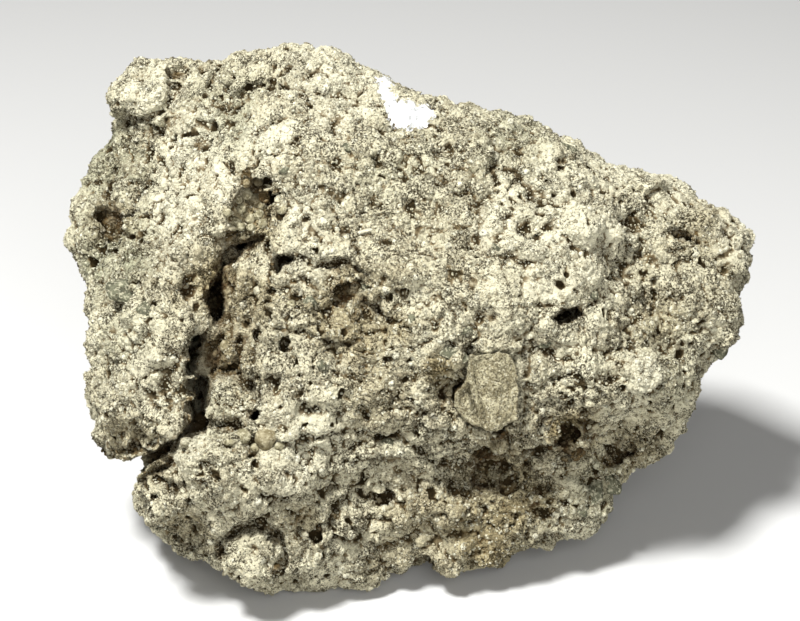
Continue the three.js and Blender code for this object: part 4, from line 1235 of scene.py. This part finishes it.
class Finish:
    """A material put together node by node."""

    def __init__(self, name):
        self.material = bpy.data.materials.new(name)
        self.material.use_nodes = True
        self.tree = self.material.node_tree
        self.surface = self.tree.nodes["Principled BSDF"]
        self.places = self.node("ShaderNodeTexCoord").outputs["Object"]

    def node(self, kind, settings=None, **sockets):
        new = self.tree.nodes.new(kind)
        for key, value in (settings or {}).items():
            setattr(new, key, value)
        for key, value in sockets.items():
            self.put(new.inputs[key.replace("_", " ")], value)
        return new

    def put(self, socket, value):
        if isinstance(value, bpy.types.NodeSocket):
            self.tree.links.new(value, socket)
        else:
            socket.default_value = value

    def noise(self, size, detail=2.0, roughness=0.5, distortion=0.0):
        """Soft noise with features of the given size in millimetres."""
        made = self.node(
            "ShaderNodeTexNoise", Vector=self.places, Scale=1 / (size * MM), Detail=detail,
            Roughness=roughness, Distortion=distortion)
        return made.outputs[0]

    def number(self, name):
        """One of the numbers noted on the vertices."""
        return self.node("ShaderNodeAttribute", {"attribute_name": name}).outputs["Fac"]

    def between(self, value, low, high, to_low=0.0, to_high=1.0):
        """A smooth run from one value to another while the given value goes from low to high."""
        made = self.node("ShaderNodeMapRange", {"interpolation_type": "SMOOTHSTEP"})
        parts = {"Value": value, "From Min": low, "From Max": high, "To Min": to_low, "To Max": to_high}
        for key, part in parts.items():
            self.put(made.inputs[key], part)
        return made.outputs["Result"]

    def reckoned(self, one, other, how):
        """Two numbers put together by a Math node."""
        made = self.node("ShaderNodeMath", {"operation": how})
        self.put(made.inputs[0], one)
        self.put(made.inputs[1], other)
        return made.outputs[0]

    def sum(self, one, other):
        return self.reckoned(one, other, "ADD")

    def product(self, one, other):
        return self.reckoned(one, other, "MULTIPLY")

    def blend(self, share, one, other):
        """The first colour where the share is 0, the other where it is 1."""
        made = self.node("ShaderNodeMix", {"data_type": "RGBA", "blend_type": "MIX"})
        self.put(made.inputs["Factor"], share)
        self.put(made.inputs[FIRST_COLOUR], one)
        self.put(made.inputs[SECOND_COLOUR], other)
        return made.outputs[MIXED_COLOUR]

    def matt(self, colour, roughness=0.95, shine=0.1):
        self.put(self.surface.inputs["Base Color"], colour)
        self.surface.inputs["Roughness"].default_value = roughness
        self.surface.inputs["Specular IOR Level"].default_value = shine

    def bump(self, height, strength, depth):
        made = self.node("ShaderNodeBump", Strength=strength, Distance=depth * MM, Height=height)
        self.tree.links.new(made.outputs[0], self.surface.inputs["Normal"])


# %% [markdown]
# Clean lime is cream. Over it go the grey-green of old algae, the brown of iron and pale patches; on
# the undersides and under the overhangs the brown and green also stand in as painted shade, and on
# bosses that face the light the pale patches are partly painted highlight. Random tone makes some spots
# earth-dark or chalk-pale, and where grains crowd the skin is darker as painted shade between them.
# Then comes dust where a spot is sheltered or hollow, partly dust and partly painted shade, with painted
# shade on the grains' buried undersides too, and rust in the brown hollows. Last come the dark holes and
# cracks that are too fine to model: holes where noise runs high, so that they are ragged and crowd
# together, and cracks along the thin winding line where noise crosses its middle. White paint covers all
# of it but is worn through at its edge.

# %% Colours of the stone
# Chalk is paler lime and painted highlight, tan is iron stain and painted shade, earth is dark grains and
# painted shade between grains, and dust is dust and painted shade.
CREAM = (0.75, 0.705, 0.505, 1)
DULL_CREAM = (0.65, 0.605, 0.425, 1)
CHALK_AND_HIGHLIGHT = (0.80, 0.77, 0.59, 1)
GREEN_GREY = (0.35, 0.355, 0.235, 1)
TAN_AND_SHADE = (0.37, 0.30, 0.155, 1)
EARTH_AND_SHADE = (0.17, 0.14, 0.08, 1)
DUST_AND_SHADE = (0.15, 0.10, 0.04, 1)
DARK = (0.03, 0.02, 0.006, 1)
RUST = (0.075, 0.042, 0.017, 1)
WHITE_PAINT = (0.86, 0.87, 0.86, 1)
SAND = (0.41, 0.375, 0.245, 1)
BROWN_SAND = (0.24, 0.21, 0.125, 1)
DARK_SAND = (0.07, 0.056, 0.03, 1)
PALE_SAND = (0.60, 0.57, 0.42, 1)


def tufa_finish():
    made = Finish("tufa")
    drift = made.noise(11, 3)
    tone = made.sum(made.product(made.number("tone"), 0.7), made.noise(0.5, 4, 0.8))
    colour = made.blend(made.between(drift, 0.35, 0.65), CREAM, DULL_CREAM)
    green = made.product(made.number("green"), made.between(drift, 0.5, 0.6, 0.6, 1))
    colour = made.blend(green, colour, GREEN_GREY)
    # Brown patches: iron stain, and painted shade on the undersides and under the overhangs.
    brown = made.product(made.number("brown"), made.between(drift, 0.42, 0.6, 1, 0.6))
    colour = made.blend(brown, colour, TAN_AND_SHADE)
    # Pale patches: paler stone, and painted highlight on the bosses that face the light.
    colour = made.blend(made.product(made.number("pale"), 0.6), colour, CHALK_AND_HIGHLIGHT)
    # Low tone makes earth-dark grains at random and, on the skin where grains crowd, painted shade between
    # them.
    colour = made.blend(made.between(tone, 0.5, 0.85, 0.75, 0), colour, EARTH_AND_SHADE)
    colour = made.blend(made.between(tone, 0.85, 1.2, 0, 0.9), colour, CHALK_AND_HIGHLIGHT)
    # Painted shade: sheltered and hollow spots, pocks and the buried undersides of grains turn dust-brown,
    # and the deepest nearly black, partly as dust and partly as the shade that falls there.
    low_down = made.between(made.number("hollow"), -0.3, 0.12, 0.4, 1)
    dusty = made.product(made.between(made.number("sheltered"), 0.25, 0.8, 0, 0.85), low_down)
    colour = made.blend(dusty, colour, DUST_AND_SHADE)
    colour = made.blend(made.between(made.number("hollow"), 0.02, 0.3, 0, 0.85), colour, DUST_AND_SHADE)
    colour = made.blend(made.between(made.number("hollow"), 0.25, 0.5, 0, 0.9), colour, DARK)
    rusty = made.product(made.number("brown"), made.between(made.noise(3.2, 4, 0.6), 0.45, 0.6))
    rusty = made.product(rusty, made.between(made.number("sheltered"), 0.3, 0.7))
    colour = made.blend(rusty, colour, RUST)
    crowd = made.between(made.noise(4.5, 4, 0.6), 0.36, 0.62, 0.08, -0.015)
    crowd = made.sum(crowd, made.product(made.number("pale"), -0.07))
    speck = made.between(made.sum(made.noise(0.45, 3, 0.75), crowd), 0.6, 0.63)
    off_middle = made.reckoned(made.noise(1.9, 5, 0.7), 0.5, "SUBTRACT")
    winding = made.reckoned(off_middle, 0, "ABSOLUTE")
    crack = made.between(made.sum(winding, made.product(crowd, -0.15)), 0.002, 0.011, 1, 0)
    speck = made.reckoned(speck, crack, "MAXIMUM")
    colour = made.blend(made.product(speck, 0.93), colour, DARK)
    chipped = made.sum(made.number("paint"), made.between(made.noise(0.9, 3, 0.7), 0.3, 0.7, -0.9, 0.6))
    painted = made.between(chipped, 0.15, 0.35)
    colour = made.blend(painted, colour, WHITE_PAINT)
    made.matt(colour)
    rough = made.sum(made.noise(0.42, 4, 0.7), made.product(speck, -0.4))
    calm = made.between(painted, 0, 1, 1, 0.6)
    made.bump(made.product(rough, calm), 1.0, 0.9)
    return made.material


def sandstone_finish():
    made = Finish("sandstone")
    bed = made.noise(2.6, 3, 0.55)
    colour = made.blend(made.between(bed, 0.35, 0.65), SAND, BROWN_SAND)
    colour = made.blend(made.between(made.noise(0.42, 3, 0.75), 0.48, 0.56, 0, 0.85), colour, DARK_SAND)
    pale_grain = made.between(made.noise(0.5, 4, 0.75, 0.4), 0.54, 0.64, 0, 0.8)
    colour = made.blend(pale_grain, colour, PALE_SAND)
    # Painted shade: the block's sheltered, sunken parts turn dust-brown, as dust and as the shade they sit
    # in.
    colour = made.blend(made.between(made.number("sheltered"), 0.2, 0.8, 0, 0.7), colour, DUST_AND_SHADE)
    made.matt(colour)
    made.bump(made.noise(0.5, 4, 0.75), 1.0, 0.6)
    return made.material


def bedded_finish(name, light, dark, dusty):
    made = Finish(name)
    colour = made.blend(made.between(made.noise(1.6, 4, 0.6), 0.36, 0.64), light, dark)
    own = made.between(made.number("own"), 0, 1, 0.0, 0.45)
    colour = made.blend(own, colour, dark)
    colour = made.blend(made.between(made.noise(0.7, 3, 0.65), 0.5, 0.6, 0, dusty), colour, CREAM)
    colour = made.blend(made.between(made.noise(0.5, 4, 0.7), 0.57, 0.64, 0, 0.85), colour, DARK)
    # Painted shade: stones in sheltered spots turn dust-brown, as dust and as the shade that falls there.
    colour = made.blend(made.between(made.number("sheltered"), 0.3, 0.9, 0, 0.55), colour, DUST_AND_SHADE)
    made.matt(colour)
    made.bump(made.noise(0.42, 4, 0.7), 1.0, 0.5)
    return made.material


# %% [markdown]
# Skin and grains share one finish, so that the grains read as the stone's own crust. The two skins stand
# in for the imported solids, and every piece rides on the one body.

# %% Dress the pieces
tufa = tufa_finish()
sandstone = sandstone_finish()
bedded_finishes = {
    "olive": bedded_finish("olive_grain", (0.35, 0.32, 0.205, 1), (0.19, 0.17, 0.10, 1), 0.4),
    "white": bedded_finish("white_grain", (0.52, 0.495, 0.375, 1), (0.36, 0.335, 0.235, 1), 0.3),
    "grey": bedded_finish("grey_chip", (0.16, 0.16, 0.105, 1), (0.07, 0.07, 0.046, 1), 0.35),
}


def dress(thing, material):
    """Gives an object one material and no other."""
    thing.data.materials.clear()
    thing.data.materials.append(material)


for thing in [stone] + grain_pieces:
    dress(thing, tufa)
dress(block, sandstone)
for kind, piece in bedded_pieces.items():
    dress(piece, bedded_finishes[kind])
for thing in [stone, *grain_pieces, *bedded_pieces.values()]:
    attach(thing, "root")
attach(block, "root")
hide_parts("tufa_body")
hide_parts("sandstone_block")

# %% [markdown]
# ## Stage
# The stone stands on a plain pale floor under one soft light from above and slightly to the left, with a
# weak fill. The light comes from high up, so every lump on the broad face throws a short shadow down it.

# %% Floor and lights
bpy.ops.mesh.primitive_plane_add(size=3, location=(0, 0, 0))
floor = bpy.context.object
floor.name = "floor"
floor_finish = Finish("floor")
floor_finish.matt((0.5, 0.5, 0.49, 1), 0.9, 0.2)
floor.data.materials.append(floor_finish.material)
LAMPS = (  # name, place, size, energy
    ("key", (-0.22, -0.26, 0.75), 0.14, 14),
    ("fill", (0.12, -0.75, 0.45), 0.5, 5),
)
AIM = Vector((0, 0, 0.05))
for kind, place, size, energy in LAMPS:
    bpy.ops.object.light_add(type="AREA", location=place)
    lamp = bpy.context.object
    lamp.name = kind
    lamp.data.size = size
    lamp.data.energy = energy
    lamp.rotation_euler = (AIM - Vector(place)).to_track_quat("-Z", "Y").to_euler()
scene.world = bpy.data.worlds.new("studio")
scene.world.use_nodes = True
background = scene.world.node_tree.nodes["Background"]
background.inputs["Color"].default_value = (1, 0.98, 0.95, 1)
background.inputs["Strength"].default_value = 0.14
scene.view_settings.view_transform = "Standard"
